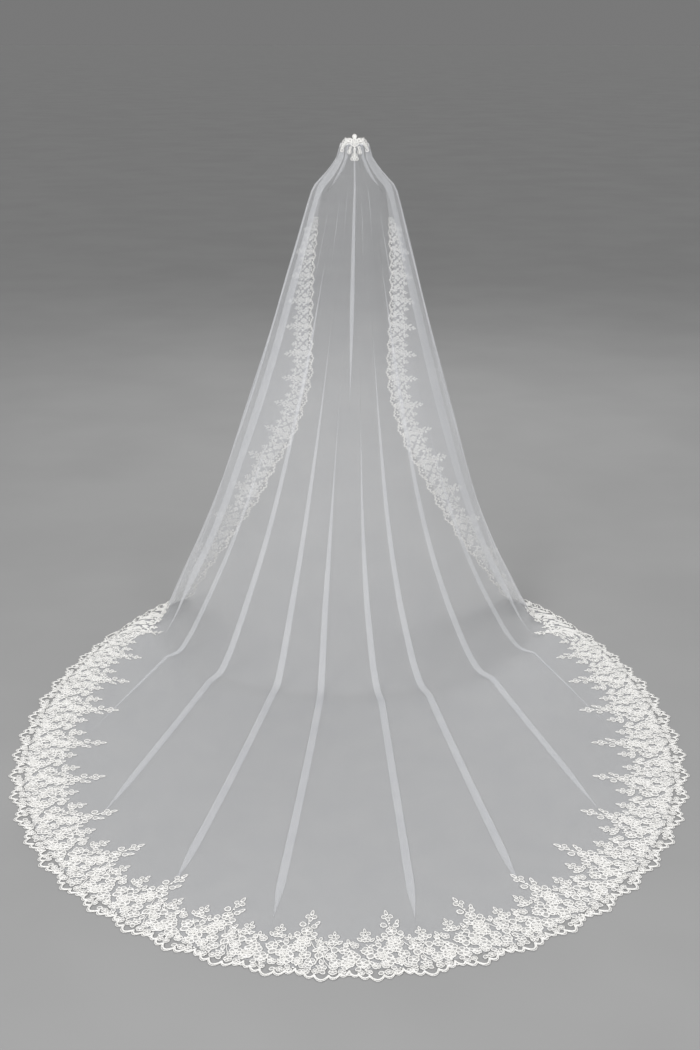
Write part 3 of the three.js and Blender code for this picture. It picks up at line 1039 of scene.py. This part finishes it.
def rosette(radius: float) -> Patch:
    """A double flower: six outer petals, and a smaller flower of five turned and raised on them.

    Args:
        radius: from its middle to about the petals' ends.

    Returns:
        The patch.
    """
    smaller, turn, raised = 0.58, 20, 0.9
    inner = flower(radius * smaller).placed(0, 0, turn, raised)
    return Patch.join([flower(radius, 6), inner])


def cord(path: np.ndarray, width: float, height: float, foot: float = 0.2) -> Patch:
    """A raised cord along a path, with a ridge between its two feet.

    Args:
        path: (along, inward) places, one per row.
        width: the cord's width.
        height: its ridge above the cloth.
        foot: height of its feet.

    Returns:
        The patch.
    """
    way = unit(np.gradient(path, axis=0))
    side = np.stack([-way[:, 1], way[:, 0]], 1) * width / 2
    n = len(path)
    rows = [(path - side, foot), (path, height), (path + side, foot)]
    points = np.concatenate([np.column_stack([place, np.full(n, h)]) for place, h in rows])
    k = np.arange(n - 1)
    faces = []
    for low in (0, n):
        faces.append(np.stack([low + k, low + k + 1, low + n + k + 1], 1))
        faces.append(np.stack([low + k, low + n + k + 1, low + n + k], 1))
    return Patch(points, np.concatenate(faces), np.full(4 * (n - 1), CORD))


class Motif(Enum):
    """The motifs that the lace is made of."""

    LEAF = "leaf"
    PETAL = "petal"
    FLOWER = "flower"
    ROSETTE = "rosette"
    KNOT = "knot"

    def patch(self, size: float) -> Patch:
        """Makes the motif at its own size.

        Args:
            size: length of a leaf or petal, radius of the others.

        Returns:
            The patch.
        """
        if self is Motif.LEAF:
            slim, pointed, rim = 0.56, -0.25, max(2.2, size * 0.13)
            return egg(size, size * slim, pointed, rim)
        if self is Motif.PETAL:
            full, broad, rim = 0.86, 0.2, max(2.4, size * 0.15)
            return egg(size, size * full, broad, rim)
        if self is Motif.FLOWER:
            return flower(size)
        return rosette(size) if self is Motif.ROSETTE else dome(size, height=2.4)


@dataclass(frozen=True)
class Sprig:
    """One motif of a sprig: its kind, place, size and turn."""

    motif: Motif
    along: float
    inward: float
    size: float
    turn: float = 0.0


TALL_SPRIG = (
    Sprig(Motif.LEAF, 0, 212, 26),
    Sprig(Motif.PETAL, -2, 202, 20, 62),
    Sprig(Motif.PETAL, 2, 202, 20, -62),
    Sprig(Motif.PETAL, 0, 186, 20),
    Sprig(Motif.PETAL, -7, 168, 25, 68),
    Sprig(Motif.PETAL, 8, 164, 22, -72),
    Sprig(Motif.LEAF, 20, 172, 24, -35),
    Sprig(Motif.KNOT, 0, 178, 4),
    Sprig(Motif.FLOWER, 0, 146, 18),
    Sprig(Motif.PETAL, -14, 128, 22, 74),
    Sprig(Motif.PETAL, 14, 130, 22, -66),
    Sprig(Motif.LEAF, -12, 112, 26, 52),
    Sprig(Motif.LEAF, 13, 112, 24, -58),
    Sprig(Motif.ROSETTE, 0, 106, 21),
)
MIDDLE_SPRIG = (
    Sprig(Motif.LEAF, 0, 132, 20, 4),
    Sprig(Motif.PETAL, -2, 124, 17, 58),
    Sprig(Motif.PETAL, 3, 124, 17, -52),
    Sprig(Motif.FLOWER, 0, 108, 15),
    Sprig(Motif.LEAF, -10, 98, 22, 48),
    Sprig(Motif.LEAF, 11, 96, 20, -50),
)
SMALL_SPRIG = (
    Sprig(Motif.LEAF, 0, 100, 21, -14),
    Sprig(Motif.LEAF, -2, 96, 18, 40),
    Sprig(Motif.PETAL, 2, 88, 16, -40),
)


@dataclass(frozen=True)
class BodyRow:
    """One row of the lace's body: how far in it lies, its first place, its pitch and its motifs."""

    inward: float
    first: float
    pitch: float
    size: float
    kinds: tuple


BODY_ROWS = (
    BodyRow(-13, 6, 21.33, 10, (Motif.PETAL, Motif.FLOWER, Motif.FLOWER)),
    BodyRow(6, 13, 25.6, 11.5, (Motif.FLOWER, Motif.PETAL, Motif.FLOWER, Motif.FLOWER)),
    BodyRow(26, 0, 32, 16.5, (Motif.ROSETTE, Motif.FLOWER, Motif.LEAF, Motif.FLOWER)),
    BodyRow(49, 15, 32, 17.5, (Motif.FLOWER, Motif.PETAL, Motif.ROSETTE, Motif.LEAF)),
    BodyRow(73, 2, 29, 15.5, (Motif.FLOWER, Motif.LEAF, Motif.FLOWER, Motif.PETAL)),
    BodyRow(92, 18, 32, 12.5, (Motif.PETAL, Motif.FLOWER, Motif.LEAF)),
)


@dataclass(frozen=True)
class Stem:
    """A curved cord of the lace: its first place, how far it swings aside and how far in it ends."""

    start: float
    swing: float
    top: float


STEMS = (
    Stem(196, 26, 96),
    Stem(230, -14, 100),
    Stem(0, 5, 196),
    Stem(34, 16, 104),
    Stem(84, -22, 112),
    Stem(128, 14, 100),
)


@dataclass(frozen=True)
class Spray:
    """A sprig's place on the lace: along, further in than drawn, and its hand, 1 or -1 when mirrored."""

    sprigs: tuple
    along: float
    inward: float
    hand: int


SPRAYS = (
    Spray(TALL_SPRIG, 0, 0, 1),
    Spray(MIDDLE_SPRIG, 84, 0, -1),
    Spray(SMALL_SPRIG, 44, 6, 1),
    Spray(SMALL_SPRIG, 128, 0, -1),
    Spray(MIDDLE_SPRIG, 176, 12, 1),
    Spray(SMALL_SPRIG, 214, 10, -1),
)


@dataclass(frozen=True)
class LacePattern:
    """One repeat of the border lace, drawn flat: scallops, body and sprigs.

    The fronts are smaller. There the cords are bold for their size, petals are stitched solid, and there
    are fewer of them. A cord's size is its width and height.
    """

    bold: float = 1.0
    repeat: float = 256.0
    lobe_foot: float = 6.0
    lobe_reach: float = 20.0
    roundness: float = 0.8
    small_scallops: tuple[float, ...] = (22.0, 25.0, 34.0, 25.0, 22.0)
    scallop_reach: float = 0.5
    scallop_cord: tuple[float, float] = (4.2, 2.2)
    fringe: float = 5.5
    picot: float = 1.1
    picot_cord: tuple[float, float] = (1.9, 1.2)
    stem_foot: float = 4.0
    stem_turn: float = 1.3
    stem_cord: tuple[float, float] = (2.4, 1.5)
    long_motif: float = 1.55
    knot: float = 3.0
    knot_inward: float = 10.0
    seed: int = 11

    def scallop_line(self, start: float, width: float, count: int) -> np.ndarray:
        """The outer line of one small scallop, which bulges from the big lobe that it stands on.

        Lobe and bulge each reach out by a power of the sine along them.

        Args:
            start: where it starts along the lace.
            width: its width.
            count: points along it.

        Returns:
            (along, inward) places.
        """
        u = np.linspace(0, 1, count)
        along = start + u * width
        share = (along / (self.repeat / 2)) % 1
        lobe = self.lobe_foot + self.lobe_reach * np.sin(np.pi * share) ** self.roundness
        bulge = self.scallop_reach * width * np.sin(np.pi * u) ** self.roundness
        return np.stack([along, -(lobe + bulge)], 1)

    def scallops(self) -> Patch:
        """The scalloped edge: a thick round cord for each scallop, a fringe past it and picots on that.

        Returns:
            The patch.
        """
        patches = []
        start = 0.0
        width_bold, height = self.scallop_cord[0] * self.bold, self.scallop_cord[1]
        for width in self.small_scallops * 2:
            line = self.scallop_line(start, width, 9)
            patches.append(cord(line, width_bold, height))
            flat = np.zeros(len(line))
            strip = np.concatenate(
                [np.column_stack([line, flat]), np.column_stack([line - (0, self.fringe), flat])]
            )
            quads = grid_faces(2, len(line))
            faces = np.concatenate([quads[:, :3], quads[:, [0, 2, 3]]])
            patches.append(Patch(strip, faces, np.full(len(faces), NET)))
            line = self.scallop_line(start, width, 13) - (0, self.fringe)
            line[1::2, 1] -= self.picot
            patches.append(cord(line, *self.picot_cord))
            start += width
        return Patch.join(patches)

    def stems(self) -> Patch:
        """Cords that tie the body to the sprigs, swinging aside by a sine.

        Returns:
            The patch.
        """
        patches = []
        for stem in STEMS:
            u = np.linspace(0, 1, 11)
            along = stem.start + stem.swing * np.sin(np.pi * u * self.stem_turn)
            inward = self.stem_foot + (stem.top - self.stem_foot) * u
            width, height = self.stem_cord
            patches.append(cord(np.stack([along, inward], 1), width * self.bold, height))
        return Patch.join(patches)

    def build(self) -> Patch:
        """Makes the repeat. The body's motifs are set a little unevenly, and the same each time.

        Returns:
            The patch, from 0 to one repeat along.
        """
        random = np.random.default_rng(self.seed)
        patches = [self.scallops(), self.stems()]
        for row in BODY_ROWS:
            count = round(self.repeat / row.pitch)
            for k in range(count):
                kind = row.kinds[k % len(row.kinds)]
                long = kind in (Motif.LEAF, Motif.PETAL)
                size = row.size * (self.long_motif if long else 1.0) * random.uniform(0.9, 1.12)
                along = row.first + k * row.pitch + random.uniform(-3, 3)
                inward = row.inward + random.uniform(-4, 4) - (size / 2 if long else 0)
                turn = random.uniform(-60, 60) if long else random.uniform(0, 72)
                if self.bold > 1 and k % 3 == 2:
                    continue
                motif = self._stitched(kind, size)
                patches.append(motif.placed(along, inward, turn, random.uniform(0, 0.5)))
                if k % 2:
                    knot = Motif.KNOT.patch(self.knot)
                    beside, above = along + row.pitch / 2, inward + self.knot_inward
                    patches.append(knot.placed(beside, above, 0, 0.2))
        for spray in SPRAYS:
            hand = spray.hand
            for s in spray.sprigs:
                along, inward = spray.along + hand * s.along, spray.inward + s.inward
                patches.append(self._stitched(s.motif, s.size).placed(along, inward, hand * s.turn))
        return Patch.join(patches)

    def _stitched(self, motif: Motif, size: float) -> Patch:
        """A motif, stitched solid where the cords are bold.

        Args:
            motif: its kind.
            size: its size.

        Returns:
            The patch.
        """
        patch = motif.patch(size)
        if self.bold > 1:
            patch.slots = np.full(len(patch.faces), CORD)
        return patch


# ---- Lace border ------------------------------------------------------------------------------------
@dataclass(frozen=True)
class LaceScale:
    """Size of the lace against its full size, by the row that the front edge has reached."""

    row: float
    scale: float


LACE_SCALES = (
    LaceScale(4.5, 0.10),
    LaceScale(5.0, 0.33),
    LaceScale(9, 0.46),
    LaceScale(12, 0.6),
    LaceScale(18, 0.6),
    LaceScale(20.2, 0.66),
)


@dataclass
class LaceBorder:
    """The lace round the cut edge, laid over the cloth from a flat pattern.

    Its line runs from the top of the left front edge, at start_row, down to the floor, round the oval and
    up the right. The hem lace begins at join_row and grows to full size over grow. Stations lie a station
    apart, with their directions evened over smoothing of them. A survey goes in and out from each in
    strides. On small lace, heights shrink less than the rest, by height_kept.
    """

    drape: Drape
    start_row: float = LACE_SCALES[0].row
    join_row: float = LACE_SCALES[-1].row
    grow: float = 512.0
    station: float = 12.0
    smoothing: int = 9
    stride: float = 12.0
    inward_steps: int = 21
    outward_steps: int = 5
    lift: float = 1.75
    height_kept: float = 0.55
    front_bold: float = 1.9

    def __post_init__(self) -> None:
        """Measures the edge and walks the cloth beside it."""
        self._measure()
        self._survey()

    def _measure(self) -> None:
        """Even stations along the edge, each with its place, direction and lace scale.

        The pattern's length is the sum of the stations' distances over their scales, evened out so that a
        whole number of repeats fits.
        """
        drape = self.drape
        down = np.linspace(self.start_row, drape.last, 2400)
        round_hem = np.linspace(-drape.edge(drape.last), drape.edge(drape.last), 1800)[1:-1]
        angle = np.concatenate([-drape.edge(down), round_hem, drape.edge(down[::-1])])
        row = np.concatenate([down, np.full(len(round_hem), float(drape.last)), down[::-1]])
        line = drape.point(angle, row)
        length = np.concatenate([[0], np.cumsum(np.linalg.norm(np.diff(line, axis=0), axis=1))])
        count = int(length[-1] / self.station)
        self.s = np.linspace(0, length[-1], count)
        self.angle, self.row = np.interp(self.s, length, angle), np.interp(self.s, length, row)
        self.place = drape.point(self.angle, self.row)
        way = np.gradient(self.place, axis=0)
        kernel = np.hanning(self.smoothing) / np.hanning(self.smoothing).sum()
        spare = self.smoothing // 2
        padded = np.pad(way, ((spare, spare), (0, 0)), mode="edge")
        self.way = unit(np.stack([np.convolve(padded[:, k], kernel, "valid") for k in range(3)], 1))
        rows, scales = [r.row for r in LACE_SCALES], [r.scale for r in LACE_SCALES]
        join = np.flatnonzero(self.row > self.join_row)
        past = np.minimum(self.s - self.s[join[0]], self.s[join[-1]] - self.s)
        on_hem = scales[-1] + (1 - scales[-1]) * np.clip(past / self.grow, 0, 1)
        self.scale = np.where(past > 0, on_hem, np.interp(self.row, rows, scales))
        self.joins = (self.s[join[0]], self.s[join[-1]])
        stretch = np.diff(self.s) * 2 / (self.scale[1:] + self.scale[:-1])
        pattern = np.concatenate([[0], np.cumsum(stretch)])
        self.repeats = round(pattern[-1] / LacePattern.repeat)
        self.pattern = pattern * self.repeats * LacePattern.repeat / pattern[-1]

    def _survey(self) -> None:
        """Places and normals on a fan of distances in and out from every station.

        On the front edges they are walked over the cloth. On the floor they are square to the edge.
        """
        drape = self.drape
        normal = drape.slopes(self.angle, self.row)[2]
        heading = np.cross(normal, self.way)
        inward = drape.walk(self.angle, self.row, heading, self.stride, self.inward_steps)
        outward = drape.walk(self.angle, self.row, heading, -self.stride, self.outward_steps)
        angle = np.concatenate([outward[0][:, :0:-1], inward[0]], 1)
        row = np.concatenate([outward[1][:, :0:-1], inward[1]], 1)
        self.distances = self.stride * np.arange(-self.outward_steps, self.inward_steps + 1)
        places = drape.cloth(angle, row, np.zeros(angle.shape))
        normals = drape.slopes(angle, row)[2]
        flat_way = unit(self.way * (1, 1, 0))
        flat_in = np.stack([-flat_way[:, 1], flat_way[:, 0], 0 * self.s], 1)
        flat = self.place[:, None] + flat_in[:, None] * self.distances[None, :, None]
        on_floor = ((self.s > self.joins[0]) & (self.s < self.joins[1]))[:, None, None]
        self.places = np.where(on_floor, flat, places)
        self.normals = np.where(on_floor, np.array([0.0, 0.0, 1.0]), normals)

    def laid(self, points: np.ndarray) -> np.ndarray:
        """Lays pattern points on the cloth.

        A point's place along the pattern gives its station and the lace's scale there. Its place in from
        the edge, at that scale, gives its distance over the cloth, and its height stands off it.

        Args:
            points: (along, inward, height) in the pattern's millimetres.

        Returns:
            Places in metres.
        """
        at = np.interp(points[:, 0], self.pattern, np.arange(len(self.s)))
        scale = np.interp(at, np.arange(len(self.s)), self.scale)
        furthest = len(self.distances) - 1.001
        out = np.clip(points[:, 1] * scale / self.stride + self.outward_steps, 0, furthest)
        i, j = np.minimum(at.astype(int), len(self.s) - 2), out.astype(int)
        u, v = (at - i)[:, None], (out - j)[:, None]

        def blend(fan: np.ndarray) -> np.ndarray:
            """A fan's value at each point, blended from the four nearest."""
            near = fan[i, j] * (1 - v) + fan[i, j + 1] * v
            return near * (1 - u) + (fan[i + 1, j] * (1 - v) + fan[i + 1, j + 1] * v) * u

        kept = self.height_kept
        height = self.lift + points[:, 2:] * (kept + (1 - kept) * scale[:, None])
        return (blend(self.places) + unit(blend(self.normals)) * height) * MM

    def build(self) -> list[bpy.types.Object]:
        """Makes the lace in stretches that meet between repeats.

        Returns:
            The pieces, the left front first.
        """
        fine, bold = LacePattern().build(), LacePattern(bold=self.front_bold).build()
        joins = np.interp(self.joins, self.s, self.pattern) / LacePattern.repeat
        left, right = round(joins[0]), round(joins[1])
        third = (right - left) / 3
        marks = [0, left, round(left + third), round(left + 2 * third), right, self.repeats]
        hem_names = ("hem_lace_left", "hem_lace_back", "hem_lace_right")
        names = ("front_lace_left_cut", *hem_names, "front_lace_right_cut")
        nodes = ("front_lace_left", "hem_lace", "hem_lace", "hem_lace", "front_lace_right")
        finishes = [LACE_CORD.material(), LACE_NET.material()]
        pieces = []
        for name, node, first, end in zip(names, nodes, marks[:-1], marks[1:]):
            repeat = fine if node == "hem_lace" else bold
            patch = Patch.join([repeat.placed(k * LacePattern.repeat, 0) for k in range(first, end)])
            along = patch.points[patch.faces, 0]
            keep = ((along >= 0) & (along <= self.repeats * LacePattern.repeat)).all(1)
            used, faces = np.unique(patch.faces[keep], return_inverse=True)
            points = patch.points[used]
            uv, slots = points[:, :2] * MM, patch.slots[keep]
            piece = mesh_piece(name, self.laid(points), faces.reshape(-1, 3), uv, finishes, slots)
            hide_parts(node)
            pieces.append(piece)
            LOG.info("%s: repeats %d to %d, %d triangles", name, first, end, keep.sum())
        return pieces


# ---- Crown lace -------------------------------------------------------------------------------------
CROWN_MOTIFS = (
    Sprig(Motif.FLOWER, 0, 28, 8.5),
    Sprig(Motif.KNOT, 0, 28, 6.5),
    Sprig(Motif.PETAL, 0, 11, 15),
    Sprig(Motif.ROSETTE, 0, 8, 15),
    Sprig(Motif.PETAL, -10, 8, 17, 30),
    Sprig(Motif.PETAL, 10, 8, 17, -30),
    Sprig(Motif.FLOWER, -20, 13, 11, 10),
    Sprig(Motif.FLOWER, 20, 13, 11, -10),
    Sprig(Motif.LEAF, -24, 14, 14, 42),
    Sprig(Motif.LEAF, 24, 14, 14, -42),
    Sprig(Motif.FLOWER, -33, 9, 10, 24),
    Sprig(Motif.FLOWER, 33, 9, 10, -24),
    Sprig(Motif.FLOWER, -41, -2, 9, 40),
    Sprig(Motif.FLOWER, 41, -2, 9, -40),
    Sprig(Motif.PETAL, -43, -8, 16, 178),
    Sprig(Motif.PETAL, 43, -8, 16, -178),
    Sprig(Motif.LEAF, -13, -4, 16, 165),
    Sprig(Motif.LEAF, 14, -3, 15, -160),
    Sprig(Motif.FLOWER, -17.5, -22, 8),
    Sprig(Motif.FLOWER, 17.5, -23, 8),
    Sprig(Motif.LEAF, 1, -8, 18, 176),
    Sprig(Motif.FLOWER, 0, -35, 10.5),
    Sprig(Motif.PETAL, -5, -38, 14, 156),
    Sprig(Motif.PETAL, 5, -38, 14, -156),
    Sprig(Motif.LEAF, 0, -40, 14, 180),
)


@dataclass
class CrownLace:
    """The applique over the comb: a bud, two side lobes and a hanging cluster of three flowers.

    It lies lift above the gathers, and bows forward over the head by its height squared over bow. A cord's
    size is its width and height.
    """

    drape: Drape
    lift: float = 4.8
    bow: float = 170.0
    arch_cord: tuple[float, float] = (2.2, 1.4)
    drop_cord: tuple[float, float] = (1.8, 1.2)
    middle_cord: tuple[float, float] = (2.0, 1.3)

    def laid(self, points: np.ndarray) -> np.ndarray:
        """Lays flat points round the gathers: on an oval of the form's size at their height.

        Args:
            points: (side, up, height) in millimetres.

        Returns:
            Places in metres.
        """
        x, z, height = points.T
        top, below = SECTIONS[0].drop, SECTIONS[1].drop
        row = np.clip((-top - z) / (below - top), 0, 1)
        lift = self.lift + height
        half = self.drape.value("half", row) + lift
        depth = self.drape.value("back", row) + lift
        forward = np.maximum(z, 0) ** 2 / self.bow
        round_oval = depth * np.sqrt(np.maximum(1 - (x / half) ** 2, 0))
        y = self.drape.value("mid", row) - round_oval + forward
        return np.stack([x, y, z], 1) * MM

    def cords(self) -> list[Patch]:
        """The cords that carry the motifs: an arch and a drop on each side, and one down the middle.

        Returns:
            The patches.
        """
        u = np.linspace(0, 1, 13)
        patches = []
        for side in (-1, 1):
            arch = np.stack([side * 47 * u, 19 - 40 * u**3], 1)
            drop = np.stack([side * (8 + 9 * u), -2 - 18 * u], 1)
            patches += [cord(arch, *self.arch_cord), cord(drop, *self.drop_cord)]
        middle = np.stack([0 * u, 16 - 52 * u], 1)
        return [*patches, cord(middle, *self.middle_cord)]

    def build(self) -> bpy.types.Object:
        """Makes the applique.

        Returns:
            The piece.
        """
        patches = [s.motif.patch(s.size).placed(s.along, s.inward, s.turn) for s in CROWN_MOTIFS]
        patch = Patch.join(patches + self.cords())
        finishes = [LACE_CORD.material(), LACE_NET.material()]
        points, uv = self.laid(patch.points), patch.points[:, :2] * MM
        piece = mesh_piece("crown_applique", points, patch.faces, uv, finishes, patch.slots)
        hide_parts("crown_lace")
        return piece


# ---- Comb -------------------------------------------------------------------------------------------
@dataclass(frozen=True)
class HairComb:
    """A wire comb, bent to the head.

    bend is its radius, wire a tooth's radius at its root, margin from the bar's end to the first tooth, tuck
    how far the points lean toward the head, and taper the share of its radius that a tooth loses.
    """

    width: float = 80
    bar: float = 7
    thick: float = 2.2
    bend: float = 90
    teeth: int = 13
    wire: float = 0.95
    length: float = 24
    margin: float = 1.3
    tuck: float = 2.6
    taper: float = 0.35
    closed: float = 0.02
    round_point: float = 0.03

    def sweep(self, along: np.ndarray, down: np.ndarray, through: np.ndarray) -> np.ndarray:
        """Bends flat comb places round the head, on a cylinder of the bend's radius.

        Args:
            along: places along the bar.
            down: heights from the bar's middle.
            through: depths toward the back.

        Returns:
            Places in millimetres.
        """
        radius = self.bend - through
        below = np.maximum(-self.bar / 2 - down, 0) / self.length
        y = self.bend - radius * np.cos(along / self.bend) + self.tuck * below
        return np.stack([radius * np.sin(along / self.bend), y, down], -1)

    def build(self) -> bpy.types.Object:
        """Makes the comb: a rounded bar, and tapered wire teeth with round ends.

        Returns:
            The piece.
        """
        t = np.linspace(0, 2 * np.pi, 13)
        end = np.concatenate([[self.closed], np.full(15, 1.0), [self.closed]])
        along = np.linspace(-self.width / 2, self.width / 2, len(end))[:, None]
        high = self.bar / 2 * np.sin(t) * end[:, None] ** 0.5
        deep = self.thick / 2 * np.cos(t) * end[:, None] ** 0.5
        blocks = [self.sweep(np.broadcast_to(along, high.shape), high, deep)]
        share = np.concatenate([np.linspace(0, 0.96, 8), [0.99, 1.0]])[:, None]
        rounded = np.sqrt(np.clip((1 - share) / self.round_point, 0, 1))
        radius = self.wire * (1 - self.taper * share) * rounded
        t = np.linspace(0, 2 * np.pi, 9)
        pitch = (self.width - 2 * self.margin) / (self.teeth - 1)
        for k in range(self.teeth):
            x = -self.width / 2 + self.margin + k * pitch + radius * np.cos(t)
            z = -self.bar / 2 + 1 - (self.length + 1) * share + 0 * t
            blocks.append(self.sweep(x, z, radius * np.sin(t)))
        points, faces, start = [], [], 0
        for block in blocks:
            points.append(block.reshape(-1, 3))
            faces.append(grid_faces(*block.shape[:2]) + start)
            start += block.shape[0] * block.shape[1]
        points, faces = np.concatenate(points) * MM, np.concatenate(faces)
        piece = mesh_piece("wire_comb", points, faces, points[:, [0, 2]], [COMB_METAL.material()])
        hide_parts("hair_comb")
        return piece


# ---- Studio -----------------------------------------------------------------------------------------
@dataclass(frozen=True)
class Softbox:
    """A soft studio lamp: its place and aim in metres, side and power."""

    name: str
    place: tuple
    aim: tuple
    side: float
    power: float


SOFTBOXES = (
    Softbox("key", (-3.4, -5.8, 2.3), (0.0, -0.4, -0.8), 2.4, 245),
    Softbox("fill", (3.6, -5.6, 1.7), (0.0, -0.3, -0.7), 3.0, 125),
    Softbox("far", (0.6, 3.6, 3.0), (0.0, -0.4, -1.2), 2.4, 110),
)


@dataclass(frozen=True)
class Studio:
    """A plain pale floor, soft lamps and the camera.

    world_grey lights the veil and sky_grey is what shows past the floor. The floor's grey varies by
    mottle, and it reaches floor_reach each way and lies floor_gap below the train. pitch is the camera's
    in degrees and lens its focal length in millimetres.
    """

    floor_grey: float = 0.33
    world_grey: float = 0.50
    sky_grey: float = 0.19
    mottle: tuple[float, float] = (0.97, 1.03)
    floor_roughness: float = 0.75
    floor_specular: float = 0.15
    floor_reach: float = 200.0
    floor_gap: float = 0.0003
    layers_seen: int = 40
    eye: tuple = (-0.0155, -5.063, 0.375)
    pitch: float = 19.0
    lens: float = 49.44

    def build(self) -> None:
        """Makes the stage, the lamps and the camera."""
        scene = bpy.context.scene
        scene.view_settings.view_transform = "Standard"
        scene.cycles.transparent_max_bounces = self.layers_seen
        world = bpy.data.worlds.new("studio")
        scene.world = world
        world.use_nodes = True
        sky = next(n for n in world.node_tree.nodes if n.type == "BACKGROUND")
        eye_ray = world.node_tree.nodes.new("ShaderNodeLightPath")
        choice = world.node_tree.nodes.new("ShaderNodeMixRGB")
        choice.inputs["Color1"].default_value = (*(self.world_grey,) * 3, 1)
        choice.inputs["Color2"].default_value = (*(self.sky_grey,) * 3, 1)
        world.node_tree.links.new(eye_ray.outputs["Is Camera Ray"], choice.inputs["Fac"])
        world.node_tree.links.new(choice.outputs["Color"], sky.inputs["Color"])
        self._floor()
        for box in SOFTBOXES:
            self._softbox(box)
        camera = bpy.data.cameras.new("camera")
        camera.lens, camera.sensor_width = self.lens, 36.0
        camera.clip_end = 500
        eye = bpy.data.objects.new("camera", camera)
        eye.location = self.eye
        eye.rotation_euler = (math.radians(90 - self.pitch), 0, 0)
        scene.collection.objects.link(eye)
        scene.camera = eye

    def _floor(self) -> None:
        """A wide plain floor at the height the train lies on."""
        made = Nodes("studio floor")
        place = made.add("ShaderNodeTexCoord").outputs["Object"]
        cloud = made.add("ShaderNodeTexNoise", scale=1.4, detail=3.0)
        made.link(place, cloud.inputs["Vector"])
        low, high = ((self.floor_grey * share,) * 3 for share in self.mottle)
        made.link(made.ramp(cloud.outputs["Fac"], low, high, 0.35, 0.65), made.shader.inputs["Base Color"])
        made.shader.inputs["Roughness"].default_value = self.floor_roughness
        made.shader.inputs["Specular IOR Level"].default_value = self.floor_specular
        side, level = self.floor_reach, -Hem().floor * MM - self.floor_gap
        mesh = bpy.data.meshes.new("floor")
        corners = [(-side, -side, level), (side, -side, level), (side, side, level), (-side, side, level)]
        mesh.from_pydata(corners, [], [(0, 1, 2, 3)])
        mesh.materials.append(made.material)
        floor = bpy.data.objects.new("floor", mesh)
        bpy.context.scene.collection.objects.link(floor)

    def _softbox(self, box: Softbox) -> None:
        """One square lamp, aimed.

        Args:
            box: its facts.
        """
        lamp = bpy.data.lights.new(box.name, "AREA")
        lamp.shape, lamp.size, lamp.energy = "SQUARE", box.side, box.power
        holder = bpy.data.objects.new(box.name, lamp)
        back = np.subtract(box.place, box.aim)
        flat = math.hypot(back[0], back[1])
        holder.location = box.place
        holder.rotation_euler = (math.atan2(flat, back[2]), 0, math.atan2(back[0], -back[1]))
        bpy.context.scene.collection.objects.link(holder)


# ---- Assembly ---------------------------------------------------------------------------------------
@dataclass(frozen=True)
class Cut:
    """The panel's flat cut before it was gathered and laid, in metres and square metres."""

    width: float = 3.9
    length: float = 3.4
    area: float = 6.8


def main() -> None:
    """Builds the studio and the veil."""
    logging.basicConfig(level=logging.INFO, format="%(message)s")
    Studio().build()
    drape = Drape()
    comb = HairComb().build()
    panel = VeilPanel(drape)
    tulle = panel.build()
    lace = LaceBorder(drape).build()
    crown = CrownLace(drape).build()
    LOG.info("panel: %.2f m at its widest, %.2f m long", panel.width, panel.length)
    total = 0
    for piece in (tulle, *lace, crown, comb):
        count = sum(len(p.vertices) - 2 for p in piece.data.polygons)
        total += count
        LOG.info("%s: %d triangles", piece.name, count)
    LOG.info("in all: %d triangles", total)


if __name__ == "__main__":
    main()
